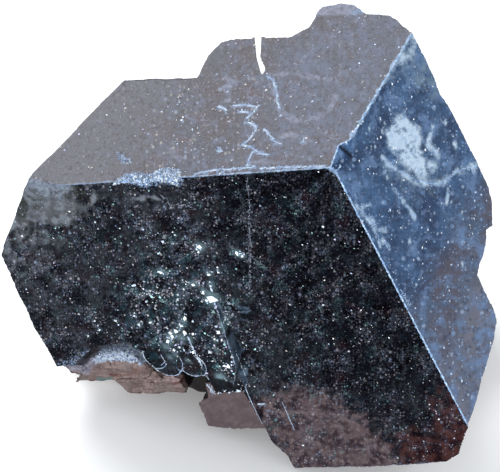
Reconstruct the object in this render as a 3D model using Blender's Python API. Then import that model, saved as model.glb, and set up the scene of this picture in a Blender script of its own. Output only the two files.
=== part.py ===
"""Aegirine on orthoclase: a stout, leaning aegirine crystal on a block of orthoclase matrix.

The crystal is drawn in its own frame: X across its front face, Y into its depth and Z up its
long axis, with the corner where the front, right and top faces meet as the origin. An empty
leans that frame over the matrix. All lengths below are in millimetres.
"""

from math import cos, pi, radians, sin
from random import Random

import bmesh
import bpy
from mathutils import Vector

MM = 0.001
WELD_WITHIN = 0.0001  # corners closer together than this are one corner

# How the crystal stands: its lean, and the height of its top right front corner.
LEAN = (radians(1.5), radians(-25.5), radians(-24.0))
CORNER_HEIGHT = 48.8
REACH = 140.0  # longer than anything that it has to cut through
ABOVE = 1.0  # how far a shallow cutter stands out of the face that it cuts
CONTACT_GAP = 0.3  # between the crystal and its socket in the matrix

# Crystal, seen along its long axis: X, Y of the sides behind the front face.
CRYSTAL_DEPTH = 27.7
DRAWN_DEPTH = 40.0  # the front's outline is carried back this far, past the back
BACK_OUTLINE = [
    (2.0, -2.0), (2.0, 19.5), (-0.1, 21.6), (-1.2, 22.8), (-2.7, 24.0), (-4.1, 24.8),
    (-7.4, 25.4), (-8.6, 26.4), (-9.9, 27.3), (-11.9, CRYSTAL_DEPTH), (-14.0, 27.5),
    (-14.4, 26.6), (-14.2, 23.9), (-15.8, 22.6), (-23.5, 23.1), (-24.8, 22.7),
    (-25.5, 20.3), (-25.1, 16.7), (-30.0, 17.1), (-35.0, 17.8), (-41.0, 16.2),
    (-46.0, 13.4), (-52.0, 7.0), (-52.0, -2.0),
]

# Crystal, seen from the front: X, Z of the front face.
CRYSTAL_WIDTH = 48.5
CRYSTAL_LENGTH = 41.8
FRONT_OUTLINE = [
    (2.0, 2.0), (-47.2, 2.0), (-47.2, -9.2), (-48.0, -15.0), (-CRYSTAL_WIDTH, -20.0),
    (-CRYSTAL_WIDTH, -25.7), (-45.9, -25.6), (-42.8, -23.6), (-41.0, -22.9),
    (-37.6, -22.7), (-36.0, -23.6), (-34.5, -25.4), (-29.4, -26.6), (-26.0, -29.6),
    (-25.7, -35.0), (-25.9, -37.6), (-24.8, -39.8), (-24.8, -CRYSTAL_LENGTH),
    (-11.0, -41.6), (-4.9, -41.2), (-2.5, -39.8), (-0.9, -38.1), (0.0, -36.2), (2.0, -34.0),
]

# Crystal, seen from the right: Y, Z of the right face, with its broken underside.
RIGHT_OUTLINE = [
    (-4.0, 2.0), (21.5, 2.0), (21.5, 0.0), (21.9, -4.0), (21.1, -7.9), (22.0, -12.3),
    (22.1, -16.8), (22.5, -19.8), (21.3, -21.7), (20.6, -23.2), (19.0, -24.8), (17.7, -24.2),
    (17.0, -25.0), (15.8, -25.6), (14.1, -25.9), (13.0, -26.3), (12.9, -31.0), (12.3, -32.4),
    (10.3, -33.4), (8.7, -33.8), (5.6, -34.6), (2.5, -35.6), (0.0, -36.0), (-4.0, -36.2),
]
# Behind the right face the solid widens: its underside drops, most of all at the front, and
# its back stands further back.
FLARE_WITHIN = 4.4
FLARE_SLACK = 0.1
UNDERSIDE_BELOW = -17.0
UNDERSIDE_DROP = 6.2
DROP_FADES_BY = 30.0  # the depth at which the underside no longer drops
BACK_BEYOND = 16.0
BACK_FLARE = 3.4
FAR_BACK_FLARE = 60.0

# Planes that cut the crystal's corners: a point on each, and the way that it faces.
CORNER_CUTS = {
    "left slope": ((-39.3, 1.9, 0.0), (-0.764, 0.213, 0.609)),
    "worn left corner": ((-34.2, 0.0, 0.0), (-0.27, -0.87, 0.41)),
    "back foot": ((-20.0, 17.5, -34.0), (-0.20, 0.62, -0.76)),
    "left foot": ((-48.5, 11.0, -21.5), (-0.55, 0.50, -0.67)),
}

# Boxes cut from the crystal: centre, size and turn in degrees.
BOX_CUTS = {
    "left back ledge": ((-33.5, 18.9, 0.0), (14.0, 3.2, 1.6), (0, 0, -4)),
    "front pit": ((-20.3, -0.2, -17.8), (2.1, 1.1, 1.5), (0, 0, 0)),
    "back step high": ((-38.0, 19.5, -12.0), (24.0, 6.0, 18.0), (0, 3, -5)),
    "back step low": ((-13.0, 29.4, -19.0), (17.0, 7.0, 20.0), (4, -3, 3)),
    "back step middle": ((-20.5, 24.2, -19.0), (13.0, 6.0, 24.0), (-3, 4, 4)),
}

# A shell-shaped chip along the edge of the top and right faces. It starts at the near corner,
# runs deeper towards the back and ends in a steep wall.
CHIP_POINTS = [
    (-0.85, -1.0, 1.0), (-1.71, 3.64, 1.0), (1.0, -1.0, -1.69), (1.0, 3.1, -2.8),
    (1.0, 5.81, 1.0), (1.0, -1.0, 1.0),
]

# Ridges along the crystal's back, left by steps cut along its length.
STRIA_COUNT = 9
STRIA_FROM = -45.0
STRIA_SPACING = 4.6
STRIA_JITTER = 1.0
STRIA_WIDTHS = (1.4, 3.2)
STRIA_DEPTHS = (0.5, 1.7)
STRIA_TOPS = (-14.0, -7.0)
STRIA_SEED = 5

# The healed crack: a narrow slot in the top face, open at the back, in two parts that meet at its
# neck. It slants away down and back: how far it moves for each millimetre of depth.
CRACK_OUTLINES = {
    "crack mouth": [(-21.4, 24.5), (-18.4, 19.1), (-18.0, 19.1), (-20.4, 24.5)],
    "crack tip": [(-18.6, 19.4), (-17.8, 18.2), (-16.7, 16.6), (-16.3, 16.2), (-16.3, 16.7),
                  (-16.5, 17.3), (-17.6, 18.6), (-18.2, 19.5)],
}
CRACK_SLANT = (-1.12, 1.32)
CRACK_DEPTH = 6.6

# The left half of the front stands proud as a wedge, thickest at its lower right corner.
WEDGE_POINTS = [
    (-22.9, 0.0, -16.4), (-22.7, -2.4, -24.4), (-24.6, -2.0, -27.2), (-30.0, -1.4, -26.0),
    (-35.3, -0.8, -23.4), (-38.5, 0.0, -21.0), (-23.2, 3.0, -17.0), (-23.2, 3.0, -24.0),
    (-26.0, 3.0, -26.4), (-34.5, 3.0, -23.0), (-37.5, 3.0, -21.0),
]

# Rounded growth lobes under the wedge: X, Z of the centre, radius, and how far forward.
LOBES = [(-34.0, -24.0, 1.5, -0.9), (-32.6, -24.5, 2.1, -1.2), (-29.3, -24.7, 1.9, -1.4)]
LOBE_DEPTH = 5.0
LOBE_SIDES = 20

# Blocks that stand behind the front: X, Z outline, then the nearest and the furthest Y.
LOW_BLOCKS = {
    "stepped block": ([(-29.8, -24.0), (-29.8, -30.7), (-26.1, -30.5), (-24.6, -28.9),
                       (-24.0, -24.0)], 0.3, 9.0),
    "recessed plate": ([(-31.2, -29.4), (-31.8, -31.7), (-33.6, -32.4), (-34.0, -36.1),
                        (-30.0, -36.8), (-24.5, -36.6), (-24.5, -29.4)], 1.0, 10.5),
}

# Matrix: blocks between its cleavages, placed from the floor under the near corner of the
# crystal: centre, size and turn in degrees. They are cut off flat at the floor.
MATRIX_BLOCKS = {
    "base": ((-6.0, 24.5, 4.0), (36.0, 22.0, 17.0), (3, -5, -20)),
    "right front": ((5.0, 15.2, 1.5), (18.0, 16.0, 11.0), (-4, 4, -24)),
    "back": ((-6.0, 33.5, 5.0), (25.0, 11.0, 22.0), (-6, -7, -17)),
    "high back": ((-9.0, 31.0, 12.0), (14.0, 9.0, 19.0), (-4, -9, -12)),
    "right": ((7.6, 24.0, 7.0), (11.0, 18.0, 19.0), (6, 7, -26)),
    "left": ((-19.5, 27.0, 3.0), (14.0, 20.0, 11.0), (-3, 5, -15)),
}
# Ledges along the matrix's front, under the crystal: X, Z outline in the crystal's frame,
# then the nearest and the furthest Y.
FRONT_LEDGES = {
    "rim": ([(-46.6, -27.5), (-45.4, -25.9), (-42.9, -24.0), (-41.1, -23.3), (-37.8, -23.1),
             (-36.4, -24.0), (-35.6, -26.4), (-36.8, -27.6)], -0.7, 9.0),
    "front wall": ([(-48.6, -26.2), (-48.2, -27.7), (-43.0, -28.9), (-42.0, -30.8), (-34.0, -31.2),
                    (-33.9, -29.0), (-35.6, -26.2)], 0.8, 14.0),
    "cavity floor": ([(-41.0, -24.8), (-40.5, -32.5), (-36.5, -35.6), (-25.0, -36.4),
                      (-25.0, -25.0)], 5.5, 16.0),
    "band": ([(-44.0, -26.9), (-43.6, -27.9), (-36.6, -29.0), (-35.4, -28.2), (-35.8, -26.9)],
             0.1, 10.0),
}
# Cleavage steps broken out of the matrix around its back: a ring of boxes, swept in angle.
STEP_RING_CENTRE = (-6.0, 25.0)
STEP_RING_RADII = (19.0, 15.5)
STEP_ANGLES = (-25.0, 205.0)
STEP_HEIGHTS = (6.0, 22.0)
STEP_SIZES = (4.0, 9.0)
STEP_TURN = (3.0, -6.0, -20.0)
STEP_TURN_JITTER = 2.0
STEP_COUNT = 20
STEP_SEED = 11

AEGIRINE_COLOUR = (0.012, 0.014, 0.018, 1.0)
AEGIRINE_ROUGHNESS = 0.28
ORTHOCLASE_COLOUR = (0.30, 0.23, 0.22, 1.0)
ORTHOCLASE_ROUGHNESS = 0.5

# How an outline drawn flat is turned to face each way.
FACING = {
    "top": (0.0, 0.0, 0.0),
    "front": (pi / 2, 0.0, 0.0),
    "right": (pi / 2, 0.0, pi / 2),
}


def clear_scene():
    for item in list(bpy.data.objects):
        bpy.data.objects.remove(item, do_unlink=True)


def new_collection(name):
    made = bpy.data.collections.new(name)
    bpy.context.scene.collection.children.link(made)
    return made


def material(name, colour, roughness):
    made = bpy.data.materials.new(name)
    made.use_nodes = True
    surface = made.node_tree.nodes["Principled BSDF"]
    surface.inputs["Base Color"].default_value = colour
    surface.inputs["Roughness"].default_value = roughness
    surface.inputs["Metallic"].default_value = 0.0
    return made


def metres(point):
    return Vector(point) * MM


class Workshop:
    """Makes cutters under one empty, and keeps the finished parts."""

    def __init__(self, parts, cutters, frame):
        self.parts, self.cutters, self.frame = parts, cutters, frame

    def place(self, name, mesh):
        made = bpy.data.objects.new(name, mesh)
        made.parent = self.frame
        self.cutters.objects.link(made)
        made.hide_render = True
        made.display_type = "WIRE"
        return made

    def keep(self, made):
        """Moves a finished solid from the cutters to the parts."""
        self.cutters.objects.unlink(made)
        self.parts.objects.link(made)
        made.hide_render = False
        made.display_type = "TEXTURED"

    def prism(self, name, outline, facing, low, high):
        """A flat outline drawn in one view and extruded along that view's axis."""
        curve = bpy.data.curves.new(name, "CURVE")
        curve.dimensions = "2D"
        curve.fill_mode = "BOTH"
        curve.extrude = (high - low) / 2 * MM
        spline = curve.splines.new("POLY")
        spline.points.add(len(outline) - 1)
        for corner, (across, up) in zip(spline.points, outline):
            corner.co = (across * MM, up * MM, 0.0, 1.0)
        spline.use_cyclic_u = True
        drawn = bpy.data.objects.new(name, curve)
        self.cutters.objects.link(drawn)
        view = bpy.context.evaluated_depsgraph_get()
        mesh = bpy.data.meshes.new_from_object(drawn.evaluated_get(view))
        bpy.data.objects.remove(drawn, do_unlink=True)
        weld(mesh)
        made = self.place(name, mesh)
        made.rotation_euler = FACING[facing]
        middle = (low + high) / 2
        made.location = metres({"top": (0, 0, middle), "front": (0, middle, 0),
                                "right": (middle, 0, 0)}[facing])
        return made

    def box(self, name, centre, size, turn):
        shape = bmesh.new()
        bmesh.ops.create_cube(shape, size=1.0)
        bmesh.ops.scale(shape, vec=metres(size), verts=shape.verts)
        made = self.place(name, mesh_from(name, shape))
        made.location = metres(centre)
        made.rotation_euler = [radians(angle) for angle in turn]
        return made

    def half_space(self, name, point, outward):
        """A large box whose inner face lies on the plane through the point."""
        way = Vector(outward).normalized()
        centre = Vector(point) + way * REACH / 2
        made = self.box(name, centre, (REACH, REACH, REACH), (0, 0, 0))
        made.rotation_euler = way.to_track_quat("Z", "Y").to_euler()
        return made

    def hull(self, name, points, grow=0.0):
        """The convex solid around the points. To grow, each moves out by twice as much."""
        middle = sum((Vector(point) for point in points), Vector()) / len(points)
        shape = bmesh.new()
        for point in points:
            away = (Vector(point) - middle).normalized()
            shape.verts.new(metres(Vector(point) + away * grow * 2))
        bmesh.ops.convex_hull(shape, input=shape.verts)
        return self.place(name, mesh_from(name, shape))


def mesh_from(name, shape):
    bmesh.ops.recalc_face_normals(shape, faces=shape.faces)
    mesh = bpy.data.meshes.new(name)
    shape.to_mesh(mesh)
    shape.free()
    return mesh


def weld(mesh):
    shape = bmesh.new()
    shape.from_mesh(mesh)
    bmesh.ops.remove_doubles(shape, verts=shape.verts, dist=WELD_WITHIN * MM)
    bmesh.ops.recalc_face_normals(shape, faces=shape.faces)
    shape.to_mesh(mesh)
    shape.free()


def boolean(target, operation, other):
    cut = target.modifiers.new(other.name, "BOOLEAN")
    cut.operation = operation
    cut.solver = "EXACT"
    cut.object = other


def flare_side(side):
    """Widens the side's prism away from the right face, whose foot and back edge are worn."""
    shape = bmesh.new()
    shape.from_mesh(side.data)
    everything = shape.verts[:] + shape.edges[:] + shape.faces[:]
    turned = side.matrix_basis.copy()
    ring = turned.inverted() @ metres((-FLARE_WITHIN, 0, 0))
    bmesh.ops.bisect_plane(shape, geom=everything, plane_co=ring, plane_no=(0, 0, 1))
    for corner in shape.verts:
        place = turned @ corner.co / MM
        if place.x > -FLARE_WITHIN + FLARE_SLACK:
            continue
        far = place.x < -REACH / 2
        drop = UNDERSIDE_DROP * (1 - place.y / DROP_FADES_BY) if place.z < UNDERSIDE_BELOW else 0
        back = (FAR_BACK_FLARE if far else BACK_FLARE) if place.y > BACK_BEYOND else 0
        corner.co = turned.inverted() @ metres(place + Vector((0, back, -drop)))
    shape.to_mesh(side.data)
    shape.free()


def lobe_outline(across, up, radius):
    steps = [2 * pi * step / LOBE_SIDES for step in range(LOBE_SIDES)]
    return [(across + radius * cos(a), up + radius * sin(a)) for a in steps]


def grown(outline, by):
    """The outline with each side moved outwards, and its corners where the moved sides meet."""
    corners = [Vector(corner) for corner in outline]
    turns = sum(a.cross(b) for a, b in zip(corners, corners[1:] + corners[:1]))
    out = by if turns > 0 else -by
    moved = []
    for before, here, after in zip(corners[-1:] + corners, corners, corners[1:] + corners[:1]):
        first = (here - before).normalized()
        second = (after - here).normalized()
        first_normal = Vector((first.y, -first.x))
        second_normal = Vector((second.y, -second.x))
        spread = first_normal + second_normal
        moved.append(tuple(here + spread * out / spread.dot(first_normal)))
    return moved


def build_crystal(shop, name, grow=0.0):
    """The crystal, or its socket: the same solid with every face moved outwards."""
    crystal = shop.prism(name, grown(FRONT_OUTLINE, grow), "front", -grow, DRAWN_DEPTH)
    back = shop.prism(f"{name} back", grown(BACK_OUTLINE, grow), "top", -REACH, grow)
    boolean(crystal, "INTERSECT", back)
    side = shop.prism(f"{name} side", grown(RIGHT_OUTLINE, grow), "right", -REACH, grow)
    flare_side(side)
    boolean(crystal, "INTERSECT", side)
    for cut, (centre, size, turn) in BOX_CUTS.items():
        smaller = [side_length - 2 * grow for side_length in size]
        boolean(crystal, "DIFFERENCE", shop.box(f"{name} {cut}", centre, smaller, turn))
    for cut, (point, outward) in CORNER_CUTS.items():
        moved = Vector(point) + Vector(outward).normalized() * grow
        boolean(crystal, "DIFFERENCE", shop.half_space(f"{name} {cut}", moved, outward))
    for number, (centre, size) in enumerate(striae(), 1):
        smaller = [side_length - 2 * grow for side_length in size]
        groove = shop.box(f"{name} stria {number}", centre, smaller, (0, 0, 0))
        boolean(crystal, "DIFFERENCE", groove)
    for block, (outline, near, far) in LOW_BLOCKS.items():
        added = shop.prism(f"{name} {block}", grown(outline, grow), "front", near - grow, far + grow)
        boolean(crystal, "UNION", added)
    boolean(crystal, "UNION", shop.hull(f"{name} front wedge", WEDGE_POINTS, grow))
    for number, (across, up, radius, near) in enumerate(LOBES, 1):
        outline = lobe_outline(across, up, radius + grow)
        lobe = shop.prism(f"{name} lobe {number}", outline, "front", near - grow, near + LOBE_DEPTH)
        boolean(crystal, "UNION", lobe)
    return crystal


def outline_depth(outline, across):
    """How far back the outline reaches at one place across it."""
    depths = [0.0]
    for (x1, y1), (x2, y2) in zip(outline, outline[1:] + outline[:1]):
        if min(x1, x2) <= across <= max(x1, x2) and x1 != x2:
            depths.append(y1 + (y2 - y1) * (across - x1) / (x2 - x1))
    return max(depths)


def striae():
    """Centre and size of each long box that cuts a step along the crystal's back."""
    chance = Random(STRIA_SEED)
    boxes = []
    for number in range(STRIA_COUNT):
        across = STRIA_FROM + number * STRIA_SPACING + chance.uniform(-STRIA_JITTER, STRIA_JITTER)
        width, depth = chance.uniform(*STRIA_WIDTHS), chance.uniform(*STRIA_DEPTHS)
        top = chance.uniform(*STRIA_TOPS)
        back = outline_depth(BACK_OUTLINE, across)
        centre = (across, back - depth + REACH / 2, top - REACH / 2)
        boxes.append((centre, (width, REACH, REACH)))
    return boxes


def slanted_slot(outline):
    """The corners of a slot through the outline on the top face, from above it to its floor."""
    along, back = CRACK_SLANT
    return [(x + along * depth, y + back * depth, -depth)
            for depth in (-ABOVE, CRACK_DEPTH) for x, y in outline]


def make_aegirine(shop):
    crystal = build_crystal(shop, "aegirine")
    shop.keep(crystal)
    for name, outline in CRACK_OUTLINES.items():
        boolean(crystal, "DIFFERENCE", shop.hull(name, slanted_slot(outline)))
    boolean(crystal, "DIFFERENCE", shop.hull("edge chip", CHIP_POINTS))
    black = material("aegirine black", AEGIRINE_COLOUR, AEGIRINE_ROUGHNESS)
    crystal.data.materials.append(black)
    return crystal


def cleavage_steps():
    """Centre, size and turn of each box broken out of the matrix's outer corners."""
    chance = Random(STEP_SEED)
    steps = []
    for number in range(STEP_COUNT):
        share = (number + chance.random()) / STEP_COUNT
        around = radians(STEP_ANGLES[0] + share * (STEP_ANGLES[1] - STEP_ANGLES[0]))
        centre = (STEP_RING_CENTRE[0] + STEP_RING_RADII[0] * cos(around),
                  STEP_RING_CENTRE[1] + STEP_RING_RADII[1] * sin(around),
                  chance.uniform(*STEP_HEIGHTS))
        size = [chance.uniform(*STEP_SIZES) for _ in range(3)]
        jitter = STEP_TURN_JITTER
        turn = [angle + chance.uniform(-jitter, jitter) for angle in STEP_TURN]
        steps.append((centre, size, turn))
    return steps


def make_orthoclase(shop, floor_shop):
    blocks = [floor_shop.box(f"{name} block", *block) for name, block in MATRIX_BLOCKS.items()]
    matrix = blocks[0]
    matrix.name = "orthoclase"
    floor_shop.keep(matrix)
    for block in blocks[1:]:
        boolean(matrix, "UNION", block)
    for name, (outline, near, far) in FRONT_LEDGES.items():
        boolean(matrix, "UNION", shop.prism(name, outline, "front", near, far))
    for number, step in enumerate(cleavage_steps(), 1):
        boolean(matrix, "DIFFERENCE", floor_shop.box(f"cleavage step {number}", *step))
    boolean(matrix, "DIFFERENCE", floor_shop.half_space("floor cut", (0, 0, 0), (0, 0, -1)))
    boolean(matrix, "DIFFERENCE", build_crystal(shop, "socket", CONTACT_GAP))
    pink = material("orthoclase pink", ORTHOCLASE_COLOUR, ORTHOCLASE_ROUGHNESS)
    matrix.data.materials.append(pink)
    return matrix


def bounds(items):
    view = bpy.context.evaluated_depsgraph_get()
    places = []
    for item in items:
        solid = item.evaluated_get(view)
        places += [item.matrix_world @ corner.co for corner in solid.data.vertices]
    low = Vector([min(place[axis] for place in places) for axis in range(3)])
    high = Vector([max(place[axis] for place in places) for axis in range(3)])
    return low, high


def new_empty(name, home):
    made = bpy.data.objects.new(name, None)
    home.objects.link(made)
    return made


def main():
    clear_scene()
    parts = new_collection("aegirine on orthoclase")
    cutters = new_collection("cutters")
    specimen = new_empty("specimen", parts)
    crystal_frame = new_empty("crystal frame", parts)
    crystal_frame.parent = specimen
    crystal_frame.rotation_euler = LEAN
    crystal_frame.location = metres((0, 0, CORNER_HEIGHT))
    shop = Workshop(parts, cutters, crystal_frame)
    floor_shop = Workshop(parts, cutters, specimen)
    crystal = make_aegirine(shop)
    matrix = make_orthoclase(shop, floor_shop)
    bpy.context.view_layer.update()
    low, high = bounds([crystal, matrix])
    specimen.location = (-(low.x + high.x) / 2, -(low.y + high.y) / 2, -low.z)


main()
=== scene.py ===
"""Looks for the aegirine on orthoclase.

Shapes are drawn in the crystal's own frame, in millimetres: X across its front face, Y into its
depth, Z up its long axis, from the corner where the front, right and top faces meet. Each CAD
solid is cut into a fine mesh in that frame, given relief and wear, and set back in its place.
"""

from math import ceil, cos, radians, sin

import bmesh
import bpy
import numpy as np
from mathutils import Euler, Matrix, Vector
from mathutils.bvhtree import BVHTree
from mathutils.geometry import delaunay_2d_cdt
from mathutils.kdtree import KDTree


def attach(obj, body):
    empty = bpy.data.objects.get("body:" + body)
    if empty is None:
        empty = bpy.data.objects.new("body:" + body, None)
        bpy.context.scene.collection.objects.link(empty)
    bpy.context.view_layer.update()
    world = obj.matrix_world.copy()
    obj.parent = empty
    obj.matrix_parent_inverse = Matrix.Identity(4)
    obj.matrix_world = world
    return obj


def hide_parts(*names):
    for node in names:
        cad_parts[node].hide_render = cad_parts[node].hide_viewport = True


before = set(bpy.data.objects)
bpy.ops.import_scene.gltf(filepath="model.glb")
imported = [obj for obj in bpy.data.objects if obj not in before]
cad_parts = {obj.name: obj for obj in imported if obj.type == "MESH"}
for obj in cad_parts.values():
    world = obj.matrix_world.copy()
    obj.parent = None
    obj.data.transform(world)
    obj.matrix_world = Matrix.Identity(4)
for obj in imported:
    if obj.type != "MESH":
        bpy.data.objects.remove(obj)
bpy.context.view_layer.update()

MM = 0.001
CORNER = np.array((8.615, -19.2, 48.8))
LEAN = Euler((radians(1.5), radians(-25.5), radians(-24.0)))
AXES = np.array(LEAN.to_matrix())
EYE = np.array((0.275, -318.67, 338.59))
EYE_TILT = 45.0
LENS = 300.0

X, Y, Z = 0, 1, 2
FRONT, TOP, RIGHT, ROUGH, RISER, PLATE = range(6)


# ---------------------------------------------------------------- frames and fields


def to_world(points):
    """Crystal millimetres to scene metres."""
    return (np.asarray(points) @ AXES.T + CORNER) * MM


def to_crystal(points):
    return (np.asarray(points) / MM - CORNER) @ AXES


EYE_LOCAL = to_crystal(EYE * MM)


def smooth(values, low, high):
    t = np.clip((values - low) / (high - low), 0, 1)
    return t * t * (3 - 2 * t)


TABLE = 32


def soft_noise(points, size, seed):
    """Smooth random values from -1 to 1, with bumps about size across."""
    table = np.random.default_rng(seed).random((TABLE, TABLE, TABLE)) * 2 - 1
    scaled = points / size + seed * 0.37
    base = np.floor(scaled).astype(int)
    part = scaled - base
    part = part * part * (3 - 2 * part)
    total = np.zeros(len(points))
    for corner in np.ndindex(2, 2, 2):
        weight = np.prod(np.where(corner, part, 1 - part), axis=1)
        total += weight * table[tuple(((base + corner) % TABLE).T)]
    return total


def layered(points, size, seed, layers=3):
    parts = [soft_noise(points, size / 2**k, seed + k) / 2**k for k in range(layers)]
    return sum(parts) / 1.5


def cells(points, size, seed):
    """The way from the nearest cell middle to each point, and three random values of that cell."""
    rng = np.random.default_rng(seed)
    jitter = rng.random((TABLE, TABLE, TABLE, 3))
    values = rng.random((TABLE, TABLE, TABLE, 3))
    scaled = points / size
    base = np.floor(scaled).astype(int)
    best = np.full(len(points), 9.0)
    way = np.zeros((len(points), 3))
    found = np.zeros((len(points), 3))
    for step in np.ndindex(3, 3, 3):
        cell = base + np.array(step) - 1
        key = tuple((cell % TABLE).T)
        apart = scaled - cell - jitter[key]
        distance = (apart**2).sum(1)
        nearer = distance < best
        best[nearer] = distance[nearer]
        way[nearer] = apart[nearer]
        found[nearer] = values[key][nearer]
    return way * size, found


def segment_distance(points, start, end):
    start, end = np.array(start), np.array(end)
    along = end - start
    t = np.clip(((points - start) @ along) / (along @ along + 1e-12), 0, 1)
    return np.linalg.norm(points - start - t[:, None] * along, axis=1)


def line_distance(points, line):
    return np.min([segment_distance(points, a, b) for a, b in zip(line, line[1:])], axis=0)


def inside(points, outline):
    """True for each flat point that lies within the outline."""
    hit = np.zeros(len(points), bool)
    for (x1, y1), (x2, y2) in zip(outline, outline[1:] + outline[:1]):
        if y1 == y2:
            continue
        crosses = (y1 > points[:, 1]) != (y2 > points[:, 1])
        border = x1 + (x2 - x1) * (points[:, 1] - y1) / (y2 - y1)
        hit ^= crosses & (points[:, 0] < border)
    return hit


def patch(points, outline, softness):
    """1 inside the outline, 0 outside it, with a soft border."""
    distance = line_distance(points, outline + outline[:1])
    signed = np.where(inside(points, outline), distance, -distance)
    return smooth(signed, -softness, softness)


# ---------------------------------------------------------------- fine meshes from CAD solids


def flat_faces(node):
    """The CAD solid in crystal millimetres, its flat faces joined again."""
    shape = bmesh.new()
    shape.from_mesh(node.data)
    for corner, place in zip(shape.verts, to_crystal([v.co for v in shape.verts])):
        corner.co = place
    bmesh.ops.remove_doubles(shape, verts=shape.verts, dist=0.002)
    bmesh.ops.dissolve_limit(
        shape, angle_limit=radians(0.6), verts=shape.verts, edges=shape.edges)
    shape.normal_update()
    for table in (shape.verts, shape.edges, shape.faces):
        table.index_update()
    return shape


def split_edges(shape, spacing, places):
    """The numbers of the points along each edge, from its first corner to its last."""
    along = {}
    for edge in shape.edges:
        step = min(spacing[face.index] for face in edge.link_faces)
        first, last = edge.verts
        count = max(1, ceil(edge.calc_length() / step))
        numbers = [first.index]
        for number in range(1, count):
            numbers.append(len(places))
            places.append(first.co.lerp(last.co, number / count))
        along[edge.index] = numbers + [last.index]
    return along


def fill_face(face, along, step, places, rng):
    """Triangles over one flat face, by point numbers, with new points inside it."""
    rim = []
    for loop in face.loops:
        numbers = along[loop.edge.index]
        rim += numbers[:-1] if numbers[0] == loop.vert.index else numbers[:0:-1]
    normal = face.normal
    across = normal.orthogonal().normalized()
    up = normal.cross(across)
    middle = face.calc_center_median()
    basis = np.array((across, up))
    flat_rim = (np.array([places[n] for n in rim]) - middle) @ basis.T
    corners = (np.array([v.co for v in face.verts]) - middle) @ basis.T
    low, high = flat_rim.min(0), flat_rim.max(0)
    grid = np.mgrid[low[0]:high[0]:step, low[1]:high[1]:step].reshape(2, -1).T
    grid = grid + rng.uniform(-0.32, 0.32, grid.shape) * step
    outline = [tuple(c) for c in corners]
    if len(grid):
        clear = line_distance(grid, outline + outline[:1]) > 0.55 * step
        grid = grid[clear & inside(grid, outline)]
    inner = list(range(len(places), len(places) + len(grid)))
    places.extend(Vector(p) for p in grid @ basis + np.array(middle))
    numbers = rim + inner
    points = [Vector(p) for p in np.vstack([flat_rim, grid])]
    edges = [(i, (i + 1) % len(rim)) for i in range(len(rim))]
    out, _, triangles, origin, _, _ = delaunay_2d_cdt(points, edges, [], 1, 1e-7)
    names = []
    for place, source in zip(out, origin):
        if source:
            names.append(numbers[source[0]])
        else:
            names.append(len(places))
            places.append(Vector(np.array(place) @ basis + np.array(middle)))
    return [tuple(names[i] for i in t) for t in triangles]


class Dense:
    """A fine mesh over a CAD solid: points in crystal millimetres, triangles and their zones."""

    def __init__(self, node, zone_of, spacing_of, seed):
        shape = flat_faces(node)
        rng = np.random.default_rng(seed)
        zones = [zone_of(face) for face in shape.faces]
        spacing = [spacing_of(face, zone) for face, zone in zip(shape.faces, zones)]
        places = [v.co.copy() for v in shape.verts]
        along = split_edges(shape, spacing, places)
        triangles, self.zones = [], []
        for face in shape.faces:
            made = fill_face(face, along, spacing[face.index], places, rng)
            triangles += made
            self.zones += [zones[face.index]] * len(made)
        self.points = np.array([tuple(p) for p in places])
        self.triangles = np.array(triangles)
        self.zones = np.array(self.zones)
        self.creases = self.crease_points(shape)
        self.home = self.points.copy()
        shape.free()

    def crease_points(self, shape, sharp=radians(20), step=0.15):
        found = []
        for edge in shape.edges:
            if len(edge.link_faces) == 2 and edge.calc_face_angle(0) > sharp:
                count = max(1, ceil(edge.calc_length() / step))
                ends = np.array((edge.verts[0].co, edge.verts[1].co))
                t = np.linspace(0, 1, count + 1)[:, None]
                found.append(ends[0] * (1 - t) + ends[1] * t)
        return np.vstack(found)

    def normals(self):
        a, b, c = (self.points[self.triangles[:, k]] for k in range(3))
        face = np.cross(b - a, c - a)
        total = np.zeros_like(self.points)
        for k in range(3):
            np.add.at(total, self.triangles[:, k], face)
        return total / np.maximum(np.linalg.norm(total, axis=1, keepdims=True), 1e-12)

    def thickness(self, normal, reach=6.0):
        """How far it is from each point straight through the piece to its other side."""
        tree = self.tree()
        far = []
        for place, way in zip(self.points, normal):
            inward = Vector(-way)
            far.append(tree.ray_cast(Vector(place) + inward * 0.02, inward, reach)[3])
        return np.array([reach if one is None else one for one in far])

    def edge_distance(self):
        tree = KDTree(len(self.creases))
        for number, place in enumerate(self.creases):
            tree.insert(place, number)
        tree.balance()
        return np.array([tree.find(p)[2] for p in self.home])

    def zone_share(self, zone):
        """1 for points only on faces of the zone, between 0 and 1 on its border."""
        total = np.zeros(len(self.points))
        hits = np.zeros(len(self.points))
        for k in range(3):
            np.add.at(total, self.triangles[:, k], 1.0)
            np.add.at(hits, self.triangles[:, k], self.zones == zone)
        return hits / np.maximum(total, 1)

    def tree(self):
        return BVHTree.FromPolygons(self.points.tolist(), self.triangles.tolist())

    def build(self, name, materials, fields):
        mesh = bpy.data.meshes.new(name)
        mesh.from_pydata(to_world(self.points).tolist(), [], self.triangles.tolist())
        for one in materials:
            mesh.materials.append(one)
        mesh.polygons.foreach_set("material_index", self.zones.astype(np.int32))
        mesh.polygons.foreach_set("use_smooth", np.ones(len(self.triangles), bool))
        mesh.set_sharp_from_angle(angle=radians(32))
        place = mesh.attributes.new("crystal_mm", "FLOAT_VECTOR", "POINT")
        place.data.foreach_set("vector", self.home.astype(np.float32).ravel())
        for field, values in fields.items():
            one = mesh.attributes.new(field, "FLOAT", "POINT")
            one.data.foreach_set("value", values.astype(np.float32))
        return add(name, mesh)


def add(name, mesh):
    made = bpy.data.objects.new(name, mesh)
    bpy.context.scene.collection.objects.link(made)
    return made


# ---------------------------------------------------------------- materials


# The real mineral is black all over. The grey-brown of the top, the blue of the right face and the
# brown foot of the front are tones that it mirrors in the photo. Here they are paint, face by face.
LIGHT_GAIN = 2.3  # how much brighter a lit surface looks than its paint
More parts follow.
